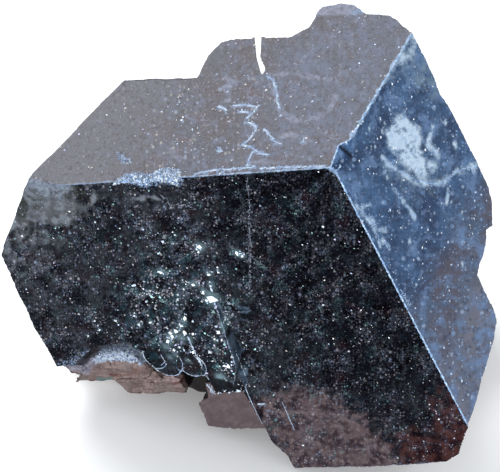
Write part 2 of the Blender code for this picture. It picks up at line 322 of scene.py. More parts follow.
# Rows of the slanted coordinate, in which a grain is as wide as it is high on the front, the top
# and the right face alike, when all three are in view.
SLANT = ((1.0, 0.47, -0.49), (0.08, 0.78, 0.86), (-0.2, 0.24, -0.18))


def bright(red, green, blue):
    """An 8-bit screen colour as a shader colour."""
    values = [v / 255 for v in (red, green, blue)]
    return tuple(v / 12.92 if v <= 0.04045 else ((v + 0.055) / 1.055) ** 2.4
                 for v in values) + (1.0,)


def linear(red, green, blue):
    """The paint that shows as this 8-bit colour once it is lit."""
    return tuple(v / LIGHT_GAIN for v in bright(red, green, blue)[:3]) + (1.0,)


class Graph:
    """A material's nodes, made and joined in one call each."""

    def __init__(self, name, specular=0.5, roughness=0.5):
        self.material = bpy.data.materials.new(name)
        self.material.use_nodes = True
        self.tree = self.material.node_tree
        self.surface = self.tree.nodes["Principled BSDF"]
        self.surface.inputs["Specular IOR Level"].default_value = specular
        self.surface.inputs["Roughness"].default_value = roughness

    def put(self, kind, inputs=(), **settings):
        node = self.tree.nodes.new(kind)
        for key, value in settings.items():
            setattr(node, key, value)
        for key, value in dict(inputs).items():
            if isinstance(value, bpy.types.NodeSocket):
                self.tree.links.new(value, node.inputs[key])
            else:
                node.inputs[key].default_value = value
        return node

    def attribute(self, name):
        return self.put("ShaderNodeAttribute", attribute_name=name)

    def value(self, name):
        return self.attribute(name).outputs["Fac"]

    def place(self):
        return self.attribute("crystal_mm").outputs["Vector"]

    def slanted(self, vector):
        rows = [self.put("ShaderNodeVectorMath", {0: vector, 1: row}, operation="DOT_PRODUCT")
                for row in SLANT]
        parts = {number: row.outputs["Value"] for number, row in enumerate(rows)}
        return self.put("ShaderNodeCombineXYZ", parts).outputs[0]

    def scaled(self, vector, scale, turn=(0, 0, 0)):
        node = self.put("ShaderNodeMapping", {"Vector": vector, "Scale": scale,
                                              "Rotation": [radians(a) for a in turn]})
        return node.outputs["Vector"]

    def noise(self, vector, scale, detail=2.0, rough=0.5):
        node = self.put("ShaderNodeTexNoise", {"Vector": vector, "Scale": scale, "Detail": detail,
                                               "Roughness": rough})
        return node.outputs["Fac"]

    def cells(self, vector, scale, flat=False):
        return self.put("ShaderNodeTexVoronoi", {"Vector": vector, "Scale": scale},
                        voronoi_dimensions="2D" if flat else "3D")

    def math(self, operation, first, second=0.0, clamp=False):
        node = self.put("ShaderNodeMath", {0: first, 1: second}, operation=operation,
                        use_clamp=clamp)
        return node.outputs[0]

    def times(self, first, second):
        return self.math("MULTIPLY", first, second)

    def plus(self, first, second):
        return self.math("ADD", first, second)

    def ramp(self, value, low, high, start=0.0, end=1.0):
        """From start to end as the value goes from low to high, with soft ends."""
        node = self.put("ShaderNodeMapRange", {"Value": value, "From Min": low, "From Max": high,
                                               "To Min": start, "To Max": end},
                        interpolation_type="SMOOTHSTEP")
        return node.outputs["Result"]

    def mix(self, share, first, second):
        node = self.put("ShaderNodeMix", data_type="RGBA")
        for key, value in (("Factor_Float", share), ("A_Color", first), ("B_Color", second)):
            socket = next(s for s in node.inputs if s.identifier == key)
            if isinstance(value, bpy.types.NodeSocket):
                self.tree.links.new(value, socket)
            else:
                socket.default_value = value
        return next(s for s in node.outputs if s.identifier == "Result_Color")

    def flat(self, vector, first, second):
        """The vector's two named parts as a flat coordinate."""
        parts = self.put("ShaderNodeSeparateXYZ", {"Vector": vector})
        return self.put("ShaderNodeCombineXYZ",
                        {0: parts.outputs[first], 1: parts.outputs[second]}).outputs[0]

    def cover(self, share, grain, rough=0.8, soft=0.18):
        """How much of a coat shows: ragged by the grain wherever the share is neither 0 nor 1."""
        uneven = self.times(self.math("SUBTRACT", grain, 0.5), 2 * rough)
        shown = self.ramp(self.plus(share, uneven), 0.5 - soft, 0.5 + soft)
        return self.times(shown, self.ramp(share, 0.0, 0.25))

    def threads(self, vector, scale, width):
        """Thin curling lines, where a noise crosses its middle value."""
        away = self.math("ABSOLUTE", self.math("SUBTRACT", self.noise(vector, scale, 2.0), 0.5))
        return self.ramp(away, width, 0.0)

    def specks(self, vector, size, share, radius, power=2.0, flat=True):
        """Small bright dots: how bright each place is, and a random value of its cell."""
        middles = self.cells(vector, 1 / size, flat)
        chance = self.put("ShaderNodeSeparateColor", {"Color": middles.outputs["Color"]})
        reach = self.ramp(chance.outputs["Green"], 0, 1, 0.45 * radius / size, 1.3 * radius / size)
        near = self.math("SUBTRACT", reach, middles.outputs["Distance"])
        dot = self.ramp(near, 0.0, 0.75 * radius / size)
        kept = self.ramp(chance.outputs["Red"], 1 - share, 1.0)
        strength = self.math("POWER", kept, power)
        return self.times(dot, strength), chance.outputs["Blue"]

    def bump(self, height, distance, strength=1.0):
        node = self.put("ShaderNodeBump", {"Height": height, "Distance": distance * MM,
                                           "Strength": strength})
        self.tree.links.new(node.outputs["Normal"], self.surface.inputs["Normal"])

    def start(self, value, low, high, first, second):
        """The ground colour: from the first to the second as the value goes from low to high."""
        self.colour = self.blend(value, low, high, first, second)

    def blend(self, value, low, high, first, second):
        return self.mix(self.ramp(value, low, high), first, second)

    def lay(self, share, shade):
        """Lays one more colour over those below it."""
        self.colour = self.mix(share, self.colour, shade)

    def finish(self, colour, roughness=None):
        self.tree.links.new(colour, self.surface.inputs["Base Color"])
        if roughness is not None:
            self.tree.links.new(roughness, self.surface.inputs["Roughness"])
        return self.material


def edge_line(graph, place, first, second, width, seed_scale):
    """Brightness of the pale line along the edge where two coordinates are both zero:
    partly wear, partly a painted edge highlight.
    """
    parts = graph.put("ShaderNodeSeparateXYZ", {"Vector": place})
    far = graph.math("MAXIMUM", graph.math("ABSOLUTE", parts.outputs[first]),
                     graph.math("ABSOLUTE", parts.outputs[second]))
    wander = graph.noise(place, seed_scale, 4.0, 0.65)
    reach = graph.ramp(wander, 0.35, 0.75, width * 0.15, width)
    return graph.ramp(graph.math("SUBTRACT", reach, far), -0.05, 0.06)


def dark_ground(graph, place, grain):
    """Near black with haze, teal and rusty clouds and a thin dust. Hands back the dust."""
    clouds = graph.noise(graph.scaled(place, (1, 1, 1), (0, 0, 30)), 0.34, 4.0, 0.62)
    graph.start(grain["broad"], 0.38, 0.62, linear(8, 8, 12), linear(18, 18, 27))
    hazy = graph.times(graph.value("haze"), graph.ramp(clouds, 0.4, 0.6, 0.1, 1.0))
    graph.lay(graph.times(hazy, graph.ramp(grain["fine"], 0.32, 0.64, 0.2, 1.0)),
              linear(62, 65, 72))
    teal = graph.times(graph.value("teal"), graph.ramp(graph.noise(place, 0.7, 3.0), 0.45, 0.66))
    graph.lay(teal, linear(32, 60, 70))
    rust = graph.ramp(graph.noise(place, 0.45, 3.0, 0.6), 0.55, 0.68, 0.0, 0.5)
    graph.lay(rust, linear(42, 26, 31))
    streaks = graph.noise(graph.scaled(place, (1.0, 0.4, 1.0), (0, 0, 50)), 0.6, 4.0, 0.7)
    dust = graph.times(graph.ramp(streaks, 0.52, 0.68), graph.ramp(grain["grit"], 0.46, 0.6))
    graph.lay(graph.times(dust, 0.38), linear(104, 108, 122))
    return dust


def dark_covers(graph, place, grain):
    """The dusty, pale, brown, wine, steel, olive and frosted places, each over the last.
    The brown and the steel blue are painted reflections, and the olive is partly painted shade.
    """
    fine, grit, medium = grain["fine"], grain["grit"], grain["medium"]
    grey = graph.blend(medium, 0.38, 0.6, linear(102, 106, 112), linear(134, 142, 152))
    grey = graph.mix(graph.ramp(graph.noise(place, 0.9, 3.0), 0.56, 0.64, 0.0, 0.7), grey,
                     linear(78, 76, 74))
    ash = graph.blend(fine, 0.36, 0.64, linear(118, 128, 142), linear(158, 170, 188))
    # mauve is the colour of the painted brown reflection on the front's foot and the plate.
    mauve = graph.blend(medium, 0.36, 0.62, linear(66, 53, 59), linear(108, 93, 96))
    mauve = graph.mix(graph.ramp(fine, 0.5, 0.68, 0.0, 0.7), mauve, linear(144, 128, 130))
    mauve = graph.mix(graph.ramp(graph.value("brown"), 1.0, 1.2, 0.0, 0.6), mauve,
                      linear(128, 114, 117))
    wine = graph.blend(medium, 0.36, 0.62, linear(38, 22, 27), linear(82, 52, 50))
    # steel is the colour of the painted sky reflection on the step.
    steel = graph.blend(medium, 0.36, 0.62, linear(56, 74, 92), linear(108, 128, 150))
    olive = graph.blend(fine, 0.4, 0.6, linear(38, 42, 38), linear(68, 74, 68))
    for field, ragged, rough, soft, shade in (
            ("dust", medium, 0.9, 0.38, grey), ("pale", medium, 1.0, 0.4, ash),
            ("brown", medium, 0.9, 0.42, mauve), ("maroon", medium, 0.9, 0.42, wine),
            ("strip", medium, 0.8, 0.4, steel), ("olive", fine, 0.8, 0.3, olive)):
        graph.lay(graph.cover(graph.value(field), ragged, rough, soft), shade)
    graph.lay(graph.cover(graph.value("frost"), grit, 1.6), linear(150, 176, 214))


def dark_glitter(graph, place, spread, flat):
    """Dull blots, then bright dots and curls where the grain crowds.
    The dots are partly pale specks and partly painted glints, most in the glint zone. Hands back the
    dots.
    """
    small, hue = graph.specks(spread, 0.34, 0.8, 0.13, 2.6, flat)
    large, _ = graph.specks(spread, 0.95, 0.5, 0.19, 1.6, flat)
    curls = graph.times(graph.plus(graph.threads(place, 1.1, 0.016),
                                   graph.threads(place, 2.2, 0.02)),
                        graph.ramp(graph.noise(place, 0.7, 2.0), 0.48, 0.66, 0.0, 0.9))
    crowd = graph.ramp(graph.noise(place, 0.42, 3.0), 0.36, 0.66, 0.2, 1.3)
    blots = graph.times(graph.ramp(graph.noise(place, 3.4, 3.0, 0.6), 0.5, 0.68), crowd)
    blots = graph.times(graph.times(blots, graph.value("sparkle")), 0.85)
    graph.lay(graph.math("MINIMUM", blots, 1.0), linear(88, 90, 106))
    tint = graph.blend(hue, 0.1, 0.9, linear(136, 152, 184), linear(180, 176, 184))
    tint = graph.mix(graph.ramp(graph.noise(place, 0.6, 2.0), 0.52, 0.66), tint,
                     linear(136, 176, 184))
    dots = graph.plus(graph.plus(small, large), curls)
    glitter = graph.times(graph.times(dots, crowd), graph.value("sparkle"))
    graph.lay(graph.math("MINIMUM", glitter, 1.0), tint)
    return glitter


def dark_material(name, specular, roughness, flat):
    """The black faces: near black, with dust, brown and frosted places, and fine glints."""
    graph = Graph(name, specular, roughness)
    home = graph.place()
    place = graph.slanted(home) if flat else home
    spread = graph.flat(place, "X", "Y") if flat else home
    grain = {"fine": graph.noise(place, 1.6, 4.0, 0.7), "grit": graph.noise(place, 4.2, 3.0, 0.7),
             "broad": graph.noise(place, 0.5, 3.0), "medium": graph.noise(place, 0.8, 4.0, 0.55)}
    dust = dark_ground(graph, place, grain)
    dark_covers(graph, place, grain)
    glitter = dark_glitter(graph, place, spread, flat)
    # Painted halo of light round each glint.
    graph.lay(graph.value("painted_glint_halo"), linear(176, 214, 226))
    for first, second, width in (("Y", "Z", 0.22), ("X", "Y", 0.3)):
        graph.lay(edge_line(graph, home, first, second, width, 1.3), linear(136, 162, 196))
    graph.bump(graph.plus(grain["fine"], graph.times(glitter, 0.6)), 0.03)
    rough = graph.ramp(graph.plus(dust, graph.times(grain["fine"], 0.4)), 0.1, 0.9, roughness, 0.75)
    return graph.finish(graph.colour, rough)


def top_material():
    """The satin top face: grey-brown with lilac and red-brown tints and pale specks.
    Its grey-brown ground is a painted reflection of the surroundings on a black crystal.
    """
    graph = Graph("aegirine_top", 0.22, 0.42)
    home = graph.place()
    place = graph.slanted(home)
    spread = graph.flat(place, "X", "Y")
    fine = graph.noise(place, 1.9, 4.0, 0.65)
    grit = graph.noise(place, 3.6, 3.0, 0.7)
    medium = graph.noise(graph.scaled(place, (1, 1, 1), (0, 0, 25)), 0.8, 4.0, 0.6)
    # Painted reflection: this grey-brown ground stands in for what the black face mirrors.
    graph.start(graph.noise(place, 0.14, 3.0), 0.38, 0.62, linear(116, 109, 113),
                linear(112, 114, 126))
    graph.lay(graph.ramp(graph.noise(place, 0.4, 3.0, 0.6), 0.52, 0.66, 0, 0.7),
              linear(118, 98, 101))
    graph.lay(graph.ramp(medium, 0.5, 0.64, 0, 0.7), linear(134, 142, 166))
    bluish = graph.times(graph.value("bluish"), graph.ramp(medium, 0.36, 0.6, 0.3, 1.0))
    graph.lay(bluish, linear(126, 136, 160))
    graph.lay(graph.value("haze"), linear(132, 132, 140))
    graph.lay(graph.ramp(fine, 0.5, 0.34, 0.0, 0.75), linear(88, 82, 88))
    graph.lay(graph.ramp(grit, 0.52, 0.72, 0.0, 0.6), linear(160, 168, 190))
    curls = graph.times(graph.plus(graph.threads(place, 1.0, 0.016),
                                   graph.threads(place, 0.55, 0.009)),
                        graph.ramp(graph.noise(place, 0.4, 2.0), 0.5, 0.66, 0.0, 0.8))
    curls = graph.times(curls, graph.math("SUBTRACT", 1.0, graph.value("haze")))
    graph.lay(curls, linear(172, 182, 206))
    lilac = graph.blend(fine, 0.36, 0.64, linear(138, 140, 158), linear(172, 178, 202))
    graph.lay(graph.cover(graph.value("dust"), medium, 0.9, 0.4), lilac)
    chalk = graph.blend(grit, 0.42, 0.6, linear(132, 152, 186), linear(190, 212, 242))
    graph.lay(graph.cover(graph.value("frost"), fine, 1.3, 0.3), chalk)
    small, hue = graph.specks(spread, 0.55, 0.6, 0.21, 2.0)
    large, _ = graph.specks(spread, 1.4, 0.45, 0.3, 1.4)
    tint = graph.blend(hue, 0.2, 0.9, linear(176, 188, 214), linear(200, 194, 190))
    glitter = graph.times(graph.plus(small, large), graph.value("sparkle"))
    graph.lay(graph.math("MINIMUM", glitter, 1.0), tint)
    line = graph.times(edge_line(graph, home, "Y", "Z", 0.42, 1.3), graph.value("edge"))
    graph.lay(line, linear(186, 208, 240))
    graph.lay(edge_line(graph, home, "X", "Z", 0.6, 1.3), linear(186, 206, 236))
    graph.bump(fine, 0.03)
    rough = graph.ramp(graph.plus(graph.value("frost"), fine), 0.2, 1.2, 0.38, 0.8)
    return graph.finish(graph.colour, rough)


def right_material():
    """The right face: steel blue, scuffed white, turning mauve-grey towards its foot.
    The blue and the mauve-grey are a painted reflection of the sky and surroundings on a black
    crystal.
    """
    graph = Graph("aegirine_right", 0.08, 0.4)
    home = graph.place()
    place = graph.slanted(home)
    spread = graph.flat(place, "X", "Y")
    height = graph.put("ShaderNodeSeparateXYZ", {"Vector": home}).outputs["Z"]
    fine = graph.noise(place, 1.7, 4.0, 0.65)
    grit = graph.noise(place, 3.8, 3.0, 0.7)
    broad = graph.noise(place, 0.26, 4.0, 0.6)
    # Painted reflection: the blue ground, turning mauve-grey and slate towards the foot.
    blue = graph.blend(broad, 0.4, 0.62, linear(46, 78, 122), linear(76, 120, 170))
    uneven = graph.plus(height, graph.times(graph.noise(place, 0.2, 2.0), 8.0))
    mauve = graph.blend(broad, 0.42, 0.6, linear(112, 108, 124), linear(102, 124, 156))
    graph.start(uneven, -13.0, -19.0, blue, mauve)
    slate = graph.blend(broad, 0.42, 0.6, linear(122, 130, 152), linear(144, 146, 164))
    graph.lay(graph.ramp(uneven, -20.0, -26.0), slate)
    graph.lay(graph.ramp(fine, 0.49, 0.36, 0.0, 0.6), linear(44, 62, 100))
    haze = graph.plus(graph.noise(place, 0.45, 4.0, 0.65), graph.times(grit, 0.35))
    graph.lay(graph.ramp(haze, 0.64, 0.86, 0.0, 0.75), linear(140, 178, 232))
    blots = graph.ramp(graph.noise(place, 1.3, 4.0, 0.65), 0.54, 0.7, 0.0, 0.65)
    graph.lay(blots, linear(128, 158, 208))
    curls = graph.times(graph.threads(place, 0.7, 0.014),
                        graph.ramp(graph.noise(place, 0.4, 2.0), 0.5, 0.66, 0.0, 0.6))
    graph.lay(curls, linear(150, 180, 218))
    pale = graph.blend(fine, 0.34, 0.6, bright(158, 182, 206), bright(182, 200, 216))
    wisps = graph.noise(place, 0.7, 5.0, 0.6)
    graph.lay(graph.cover(graph.value("pale"), wisps, 1.2, 0.5), linear(150, 180, 206))
    ragged = graph.plus(graph.times(wisps, 0.6), graph.times(fine, 0.4))
    veil = graph.times(graph.value("frost"), graph.ramp(ragged, 0.38, 0.6, 0.25, 1.25))
    veil = graph.times(graph.cover(graph.value("frost"), ragged, 1.4, 0.6), veil)
    graph.lay(graph.math("MINIMUM", veil, 1.0), pale)
    # Painted shade at the foot of the chip's steep end.
    graph.lay(graph.value("olive"), linear(22, 30, 46))
    small, hue = graph.specks(spread, 0.42, 0.5, 0.16, 2.2)
    large, _ = graph.specks(spread, 1.3, 0.5, 0.3, 1.4)
    tint = graph.blend(hue, 0.2, 0.9, bright(116, 152, 194), bright(160, 178, 204))
    glitter = graph.times(graph.plus(small, large), graph.value("sparkle"))
    graph.lay(graph.math("MINIMUM", glitter, 1.0), tint)
    for first, second, width in (("X", "Z", 0.6), ("X", "Y", 0.34)):
        line = edge_line(graph, home, first, second, width, 1.3)
        graph.lay(line, linear(190, 218, 250))
    graph.bump(fine, 0.03)
    rough = graph.ramp(graph.plus(graph.value("frost"), fine), 0.2, 1.2, 0.36, 0.8)
    return graph.finish(graph.colour, rough)


def matrix_material(name, slanted):
    """Orthoclase: pinkish tan in bands, with rust, dark seams, a painted shade in the gap under the
    lobes and a bluish frosted rim, partly a painted reflection of the sky.
    """
    graph = Graph(name, 0.25, 0.6)
    place = graph.slanted(graph.place()) if slanted else graph.place()
    fine = graph.noise(place, 1.9, 4.0, 0.65)
    grit = graph.noise(place, 4.0, 3.0, 0.7)
    medium = graph.noise(place, 0.9, 4.0, 0.6)
    layers = graph.noise(graph.scaled(place, (0.3, 1.5, 0.6), (0, 0, 12)), 1.0, 4.0, 0.65)
    graph.start(layers, 0.4, 0.6, linear(112, 90, 88), linear(160, 138, 134))
    graph.lay(graph.ramp(graph.noise(place, 0.4, 3.0), 0.5, 0.66, 0, 0.8), linear(140, 128, 124))
    rust = graph.ramp(graph.noise(place, 0.7, 4.0, 0.65), 0.56, 0.66, 0.0, 0.7)
    graph.lay(rust, linear(124, 80, 68))
    graph.lay(graph.cover(graph.value("rust"), medium, 1.0, 0.3), linear(104, 46, 36))
    graph.lay(graph.cover(graph.value("pink"), medium, 0.8, 0.3), linear(178, 152, 154))
    graph.lay(graph.ramp(fine, 0.5, 0.36, 0.0, 0.7), linear(86, 68, 66))
    graph.lay(graph.threads(place, 0.7, 0.013), linear(76, 58, 56))
    graph.lay(graph.ramp(grit, 0.54, 0.74, 0.0, 0.5), linear(186, 176, 178))
    # Painted shade in the dark gap under the lobes.
    graph.lay(graph.value("shade"), linear(26, 20, 21))
    graph.lay(graph.cover(graph.value("green"), medium, 1.2, 0.3), linear(92, 116, 114))
    ash = graph.blend(fine, 0.38, 0.62, linear(104, 102, 116), linear(168, 166, 186))
    graph.lay(graph.cover(graph.value("ash"), medium, 1.0, 0.34), ash)
    # The bluish frosted rim is partly frost and partly a painted reflection of the sky.
    ice = graph.blend(grit, 0.42, 0.58, linear(116, 136, 172), linear(220, 236, 255))
    graph.lay(graph.cover(graph.value("frost"), fine, 1.4, 0.26), ice)
    graph.bump(graph.plus(fine, layers), 0.08)
    rough = graph.ramp(fine, 0.3, 0.8, 0.45, 0.8)
    return graph.finish(graph.colour, rough)


# ---------------------------------------------------------------- the crystal

NEAR_FRONT = 0.9  # how squarely a face has to look forwards to count as front
THIN_SHARE = 0.25  # how much of a thin wall the relief may cut away


def crystal_zone(face):
    way, middle = face.normal, face.calc_center_median()
    if way.z > 0.97 and middle.z > -1.2:
        return TOP
    if way.z > 0.55 and way.x < -0.6 and middle.z > -14:
        return TOP
    if way.x > 0.97 and middle.x > -0.3:
        return RIGHT
    if middle.x > -1.8 and 0.3 < middle.y < 6 and middle.z > -2.2:
        return RIGHT
    if -way.y > NEAR_FRONT:
        return PLATE if middle.y > 0.25 and middle.z < -28 else FRONT
    if way.x > 0.4 and middle.y < 3.0 and middle.z < -16 and -25.5 < middle.x < -20:
        return RISER
    if -way.y > 0.5:
        return FRONT
    return ROUGH


def in_crack(points):
    """True close to the walls of the slot at the back of the top face."""
    near = patch(at(points, X, Y) - points[:, [Z]] * CRACK_SLANT, CRACK_MOUTH, 0.01) > 0.5
    return near & (points[:, Z] > -6.8)


def crystal_spacing(face, zone):
    if zone in (FRONT, TOP, RIGHT, PLATE, RISER):
        return 0.23
    middle = face.calc_center_median()
    if in_crack(np.array([middle]))[0]:
        return 0.15
    return 0.3 if face.normal.z > 0.3 and middle.z > -8 else 0.55


CRACK_MOUTH = [(-21.6, 24.8), (-18.9, 19.3), (-16.7, 15.8), (-15.9, 15.8), (-16.0, 17.5),
               (-17.6, 19.4), (-20.0, 24.8)]
CRACK_SLANT = np.array((1.12, -1.32))  # its way towards the top face, for each mm of height
GLINT_ZONE = [(-20.0, -7.5), (-24.5, -9.0), (-29.0, -12.0), (-34.0, -16.0), (-40.0, -20.5),
              (-38.0, -22.0), (-31.0, -25.5), (-25.0, -27.5), (-23.0, -24.0), (-21.0, -17.0)]
# The brown foot of the front is a painted reflection on the black face.
BROWN_FOOT_REFLECTION = [(-24.5, -32.4), (-21.0, -30.6), (-18.0, -29.9), (-15.0, -31.3), (-12.9, -34.0),
              (-11.5, -38.0), (-11.0, -44.0), (-26.0, -44.0)]
MAROON_CORNER = [(-9.5, -36.5), (-6.0, -37.2), (-3.0, -33.5), (1.0, -30.0), (1.0, -43.0),
                 (-11.0, -43.0)]
GREY_CORNER = [(-38.4, 0.7), (-33.2, 0.9), (-33.8, -1.5), (-32.6, -2.8), (-33.8, -3.7),
               (-36.1, -4.9), (-40.2, -4.9), (-42.6, -5.3), (-48.0, -6.0), (-50.0, 0.7)]
PALE_CORNER = [(-39.6, 1.4), (-33.1, 1.4), (-34.0, -0.9), (-36.4, -1.4), (-39.2, -1.6),
               (-42.5, -2.0)]
# Painted shadow under a small ledge at the front's left corner.
LEDGE_SHADOW_STROKES = [[(-40.6, -1.7), (-39.1, -2.3), (-37.5, -1.9), (-36.3, -1.8)],
                 [(-39.6, -3.2), (-38.4, -2.9)], [(-37.0, -2.8), (-35.9, -2.5)],
                 [(-42.0, -3.3), (-40.6, -2.7)]]
CORNER_KNOT = [(-43.4, -2.4), (-40.6, -2.0), (-40.0, -3.2), (-41.3, -4.6), (-43.6, -4.4)]
DARK_OVAL = [(-32.9, 0.6), (-31.5, 0.7), (-30.9, -0.4), (-31.5, -1.9), (-32.6, -2.6),
             (-33.6, -1.5)]
OVAL_BORDERS = [[(-30.2, 0.1), (-30.5, -1.3), (-31.5, -2.7), (-32.6, -3.0)],
                [(-26.6, -2.2), (-25.4, -2.6), (-24.0, -2.2), (-22.8, -2.9)]]
DUSTY_LEFT = [(-50.0, 1.0), (-36.0, 1.0), (-38.0, -6.0), (-41.0, -12.0), (-50.0, -14.0)]

STEP_BLOCK = [(-30.0, -23.0), (-30.0, -30.9), (-26.1, -30.7), (-24.4, -28.9), (-23.8, -23.0)]
PLATE_FOOT = [(-34.5, -35.6), (-27.6, -35.4), (-26.9, -31.4), (-24.4, -31.0), (-24.0, -38.0),
              (-34.5, -38.0)]

WHITE_PATCH = [(13.5, -4.7), (12.3, -4.3), (11.0, -4.1), (10.1, -4.1), (9.7, -4.7), (9.6, -5.7),
               (10.0, -6.7), (10.3, -7.7), (10.8, -8.8), (11.0, -9.9), (11.6, -11.1),
               (12.8, -12.0), (13.7, -11.6), (13.8, -9.9), (13.8, -9.1), (14.5, -8.7),
               (15.0, -7.9), (14.6, -7.0), (14.2, -5.9)]
DIM_PATCH = [(13.9, -10.7), (15.0, -11.9), (15.1, -12.9), (14.5, -13.2), (13.1, -12.5),
             (12.8, -11.6)]
WISPS = [[(17.1, -9.5), (16.0, -9.8), (15.0, -10.2)], [(15.1, -10.2), (15.7, -11.2), (16.0, -12.2)]]
FAINT_PATCH = [(7.0, -6.0), (9.5, -7.0), (12.5, -12.5), (14.5, -14.0), (12.5, -14.2),
               (9.0, -10.4)]
TOP_HAZE = [(16.4, 0.5), (22.0, 0.5), (22.0, -7.5), (20.4, -7.3), (18.3, -4.6)]
SCUFF_ARC = [(7.7, -5.3), (8.3, -7.1), (9.3, -8.7), (10.9, -11.3), (12.5, -13.1), (13.7, -14.3),
             (15.1, -15.0), (17.1, -15.6), (18.8, -16.5), (20.7, -17.8)]
SCUFF_STREAK = [(7.2, -9.0), (7.4, -10.9), (7.7, -12.5), (7.9, -13.6)]
EDGE_SCUFFS = [[(0.5, -5.3), (0.7, -6.4), (0.9, -7.2)], [(1.2, -6.3), (2.6, -7.1)],
               [(0.9, -7.2), (1.2, -8.5), (1.2, -10.0), (1.1, -11.3)],
               [(1.8, -7.9), (1.7, -9.5)], [(1.6, -9.7), (2.9, -11.0)], [(1.8, -11.3), (2.0, -12.5)],
               [(14.8, -16.1), (14.2, -16.5), (13.7, -16.7)]]
# Small pale spots on the right face: Y, Z and radius.
RIGHT_SPOTS = [
    (5.4, -14.8, 0.45), (5.3, -17.1, 0.4), (13.1, -21.8, 0.5), (15.2, -19.3, 0.4),
    (4.3, -18.6, 0.35), (11.6, -23.3, 0.45), (20.3, -17.9, 0.7), (19.2, -13.6, 0.7),
    (10.7, -3.1, 0.4), (7.5, -3.6, 0.35), (6.7, -3.4, 0.3), (19.6, -10.8, 0.5),
    (8.0, -1.6, 0.3), (3.2, -18.6, 0.3), (3.7, -12.5, 0.3), (5.4, -12.9, 0.35),
    (10.3, -17.8, 0.3), (9.7, -3.4, 0.35), (7.0, -7.4, 0.35), (14.3, -17.3, 0.3),
]

TOP_CRUST = [(-27.2, -0.4), (-26.9, 0.5), (-26.6, 1.2), (-24.9, 1.3), (-23.3, 0.9),
             (-21.8, 1.7), (-20.8, 1.5), (-19.4, 1.2), (-18.5, 0.3), (-18.4, -0.4)]
FRONT_CRUST = [(-27.0, 0.4), (-26.6, -0.1), (-25.5, -0.4), (-23.9, -1.1), (-21.6, -0.4),
               (-20.9, -0.7), (-19.8, -1.1), (-18.6, -0.4), (-18.4, 0.4)]
CORNER_FACET = [(-1.4, 0.3), (0.3, 0.3), (0.3, -1.5)]
CRUST_BLOB = [(-29.3, 4.9), (-28.4, 4.7), (-27.6, 3.9), (-26.9, 3.6), (-26.5, 2.9),
              (-27.6, 2.9), (-28.4, 3.6)]
EDGE_SPOTS = [
    [(-10.9, -0.3), (-10.7, 0.6), (-9.6, 0.5), (-9.0, 0.2), (-9.2, -0.4)],
    [(-7.1, -0.3), (-6.9, 0.4), (-5.9, 0.4), (-5.7, -0.3)],
    [(-14.8, 0.1), (-14.4, 0.9), (-13.5, 0.6), (-13.4, 0.0)],
]
BACK_LEDGE = [(-14.6, 25.8), (-8.2, 25.2), (-7.6, 28.2), (-14.8, 28.2)]
LEDGE_END = [(-9.6, 25.4), (-8.0, 25.2), (-7.4, 26.6), (-9.0, 26.8)]
SMALL_LEDGE_LINES = [[(-21.5, -17.0), (-19.5, -17.2), (-19.3, -18.6)]]
# Smooth blue-grey strips down the step of the front: a painted reflection of the sky, as on the
# right face.
THIN_STRIP = [(-23.1, -16.8), (-22.9, -18.4), (-22.9, -19.9)]
UPPER_STRIP = [(-23.1, -21.4), (-21.4, -21.6), (-22.4, -24.6), (-23.3, -24.9), (-23.6, -23.0)]
LOWER_STRIP = [(-25.0, -26.7), (-23.6, -26.6), (-24.7, -29.1), (-25.2, -28.9)]
LEDGE_STRIP = [(-20.9, -17.95), (-19.4, -18.5), (-19.7, -18.95), (-21.0, -18.65)]
GROWTH_LINES = [
    [(-14.7, 15.1), (-13.1, 12.9), (-11.4, 10.5), (-10.8, 9.6), (-9.7, 8.8), (-8.4, 8.2),
     (-7.3, 8.0), (-6.2, 8.2), (-5.1, 8.6), (-4.7, 9.3), (-4.7, 10.4), (-5.1, 11.7)],
    [(-15.3, 16.0), (-12.8, 16.1), (-9.9, 15.3), (-7.0, 14.4)],
    [(-7.2, 2.4), (-6.1, 2.5), (-4.8, 2.1)],
    [(-22.3, 4.6), (-21.5, 3.9), (-20.1, 2.8)],
    [(-11.0, 1.9), (-8.8, 1.7), (-7.5, 1.4)],
    [(-20.6, 14.8), (-19.4, 13.5), (-18.9, 12.3)],
    [(-21.2, 16.1), (-19.7, 15.3), (-19.6, 14.7)],
]
LEFT_TIP = [(-49.0, -25.4), (-46.2, -24.4), (-43.2, -23.2), (-41.6, -24.0), (-44.8, -25.9),
            (-47.0, -27.0)]
E2_RIM = [(6.0, 0.2), (12.0, 0.1), (17.0, 0.0), (21.6, -0.3)]
FRAYED_EDGE = [(13.0, 0.3), (21.8, 0.3), (21.8, -2.2), (18.0, -1.7), (15.0, -0.7)]
TOP_BAND = [(-22.0, 18.1), (-21.0, 18.4), (-19.5, 15.1), (-18.4, 11.8), (-19.2, 11.9)]
TOP_BLOTS = [[(-8.8, 5.7), (-8.1, 6.1), (-7.3, 5.4)], [(-6.1, 4.9), (-5.5, 4.3), (-5.7, 3.5)]]
BOLD_SEAMS = [[(-17.6, 11.3), (-16.3, 11.3), (-15.2, 11.0)], [(-19.6, 11.2), (-18.7, 11.0)],
              [(-16.3, 10.2), (-15.4, 10.0)]]
UPPER_EDGE = [[(-17.2, 0.4), (-16.1, 0.7), (-14.8, 0.9), (-13.1, 0.8), (-11.6, 0.9), (-10.0, 0.9)],
              [(-9.0, 0.6), (-6.4, 0.6), (-4.8, 0.5), (-3.1, 0.4), (-1.2, 0.3)]]
BLUISH_TOP = [(-14.0, 1.0), (-1.5, 0.5), (0.5, 6.0), (0.5, 22.0), (-8.0, 27.0), (-14.0, 22.0),
              (-16.0, 15.0), (-12.0, 9.0)]
SPECKLED_TOP = [(-28.0, 3.0), (-14.0, 2.0), (-13.5, 12.0), (-20.0, 16.0), (-27.0, 14.0)]


def at(points, first, second):
    return points[:, [first, second]]


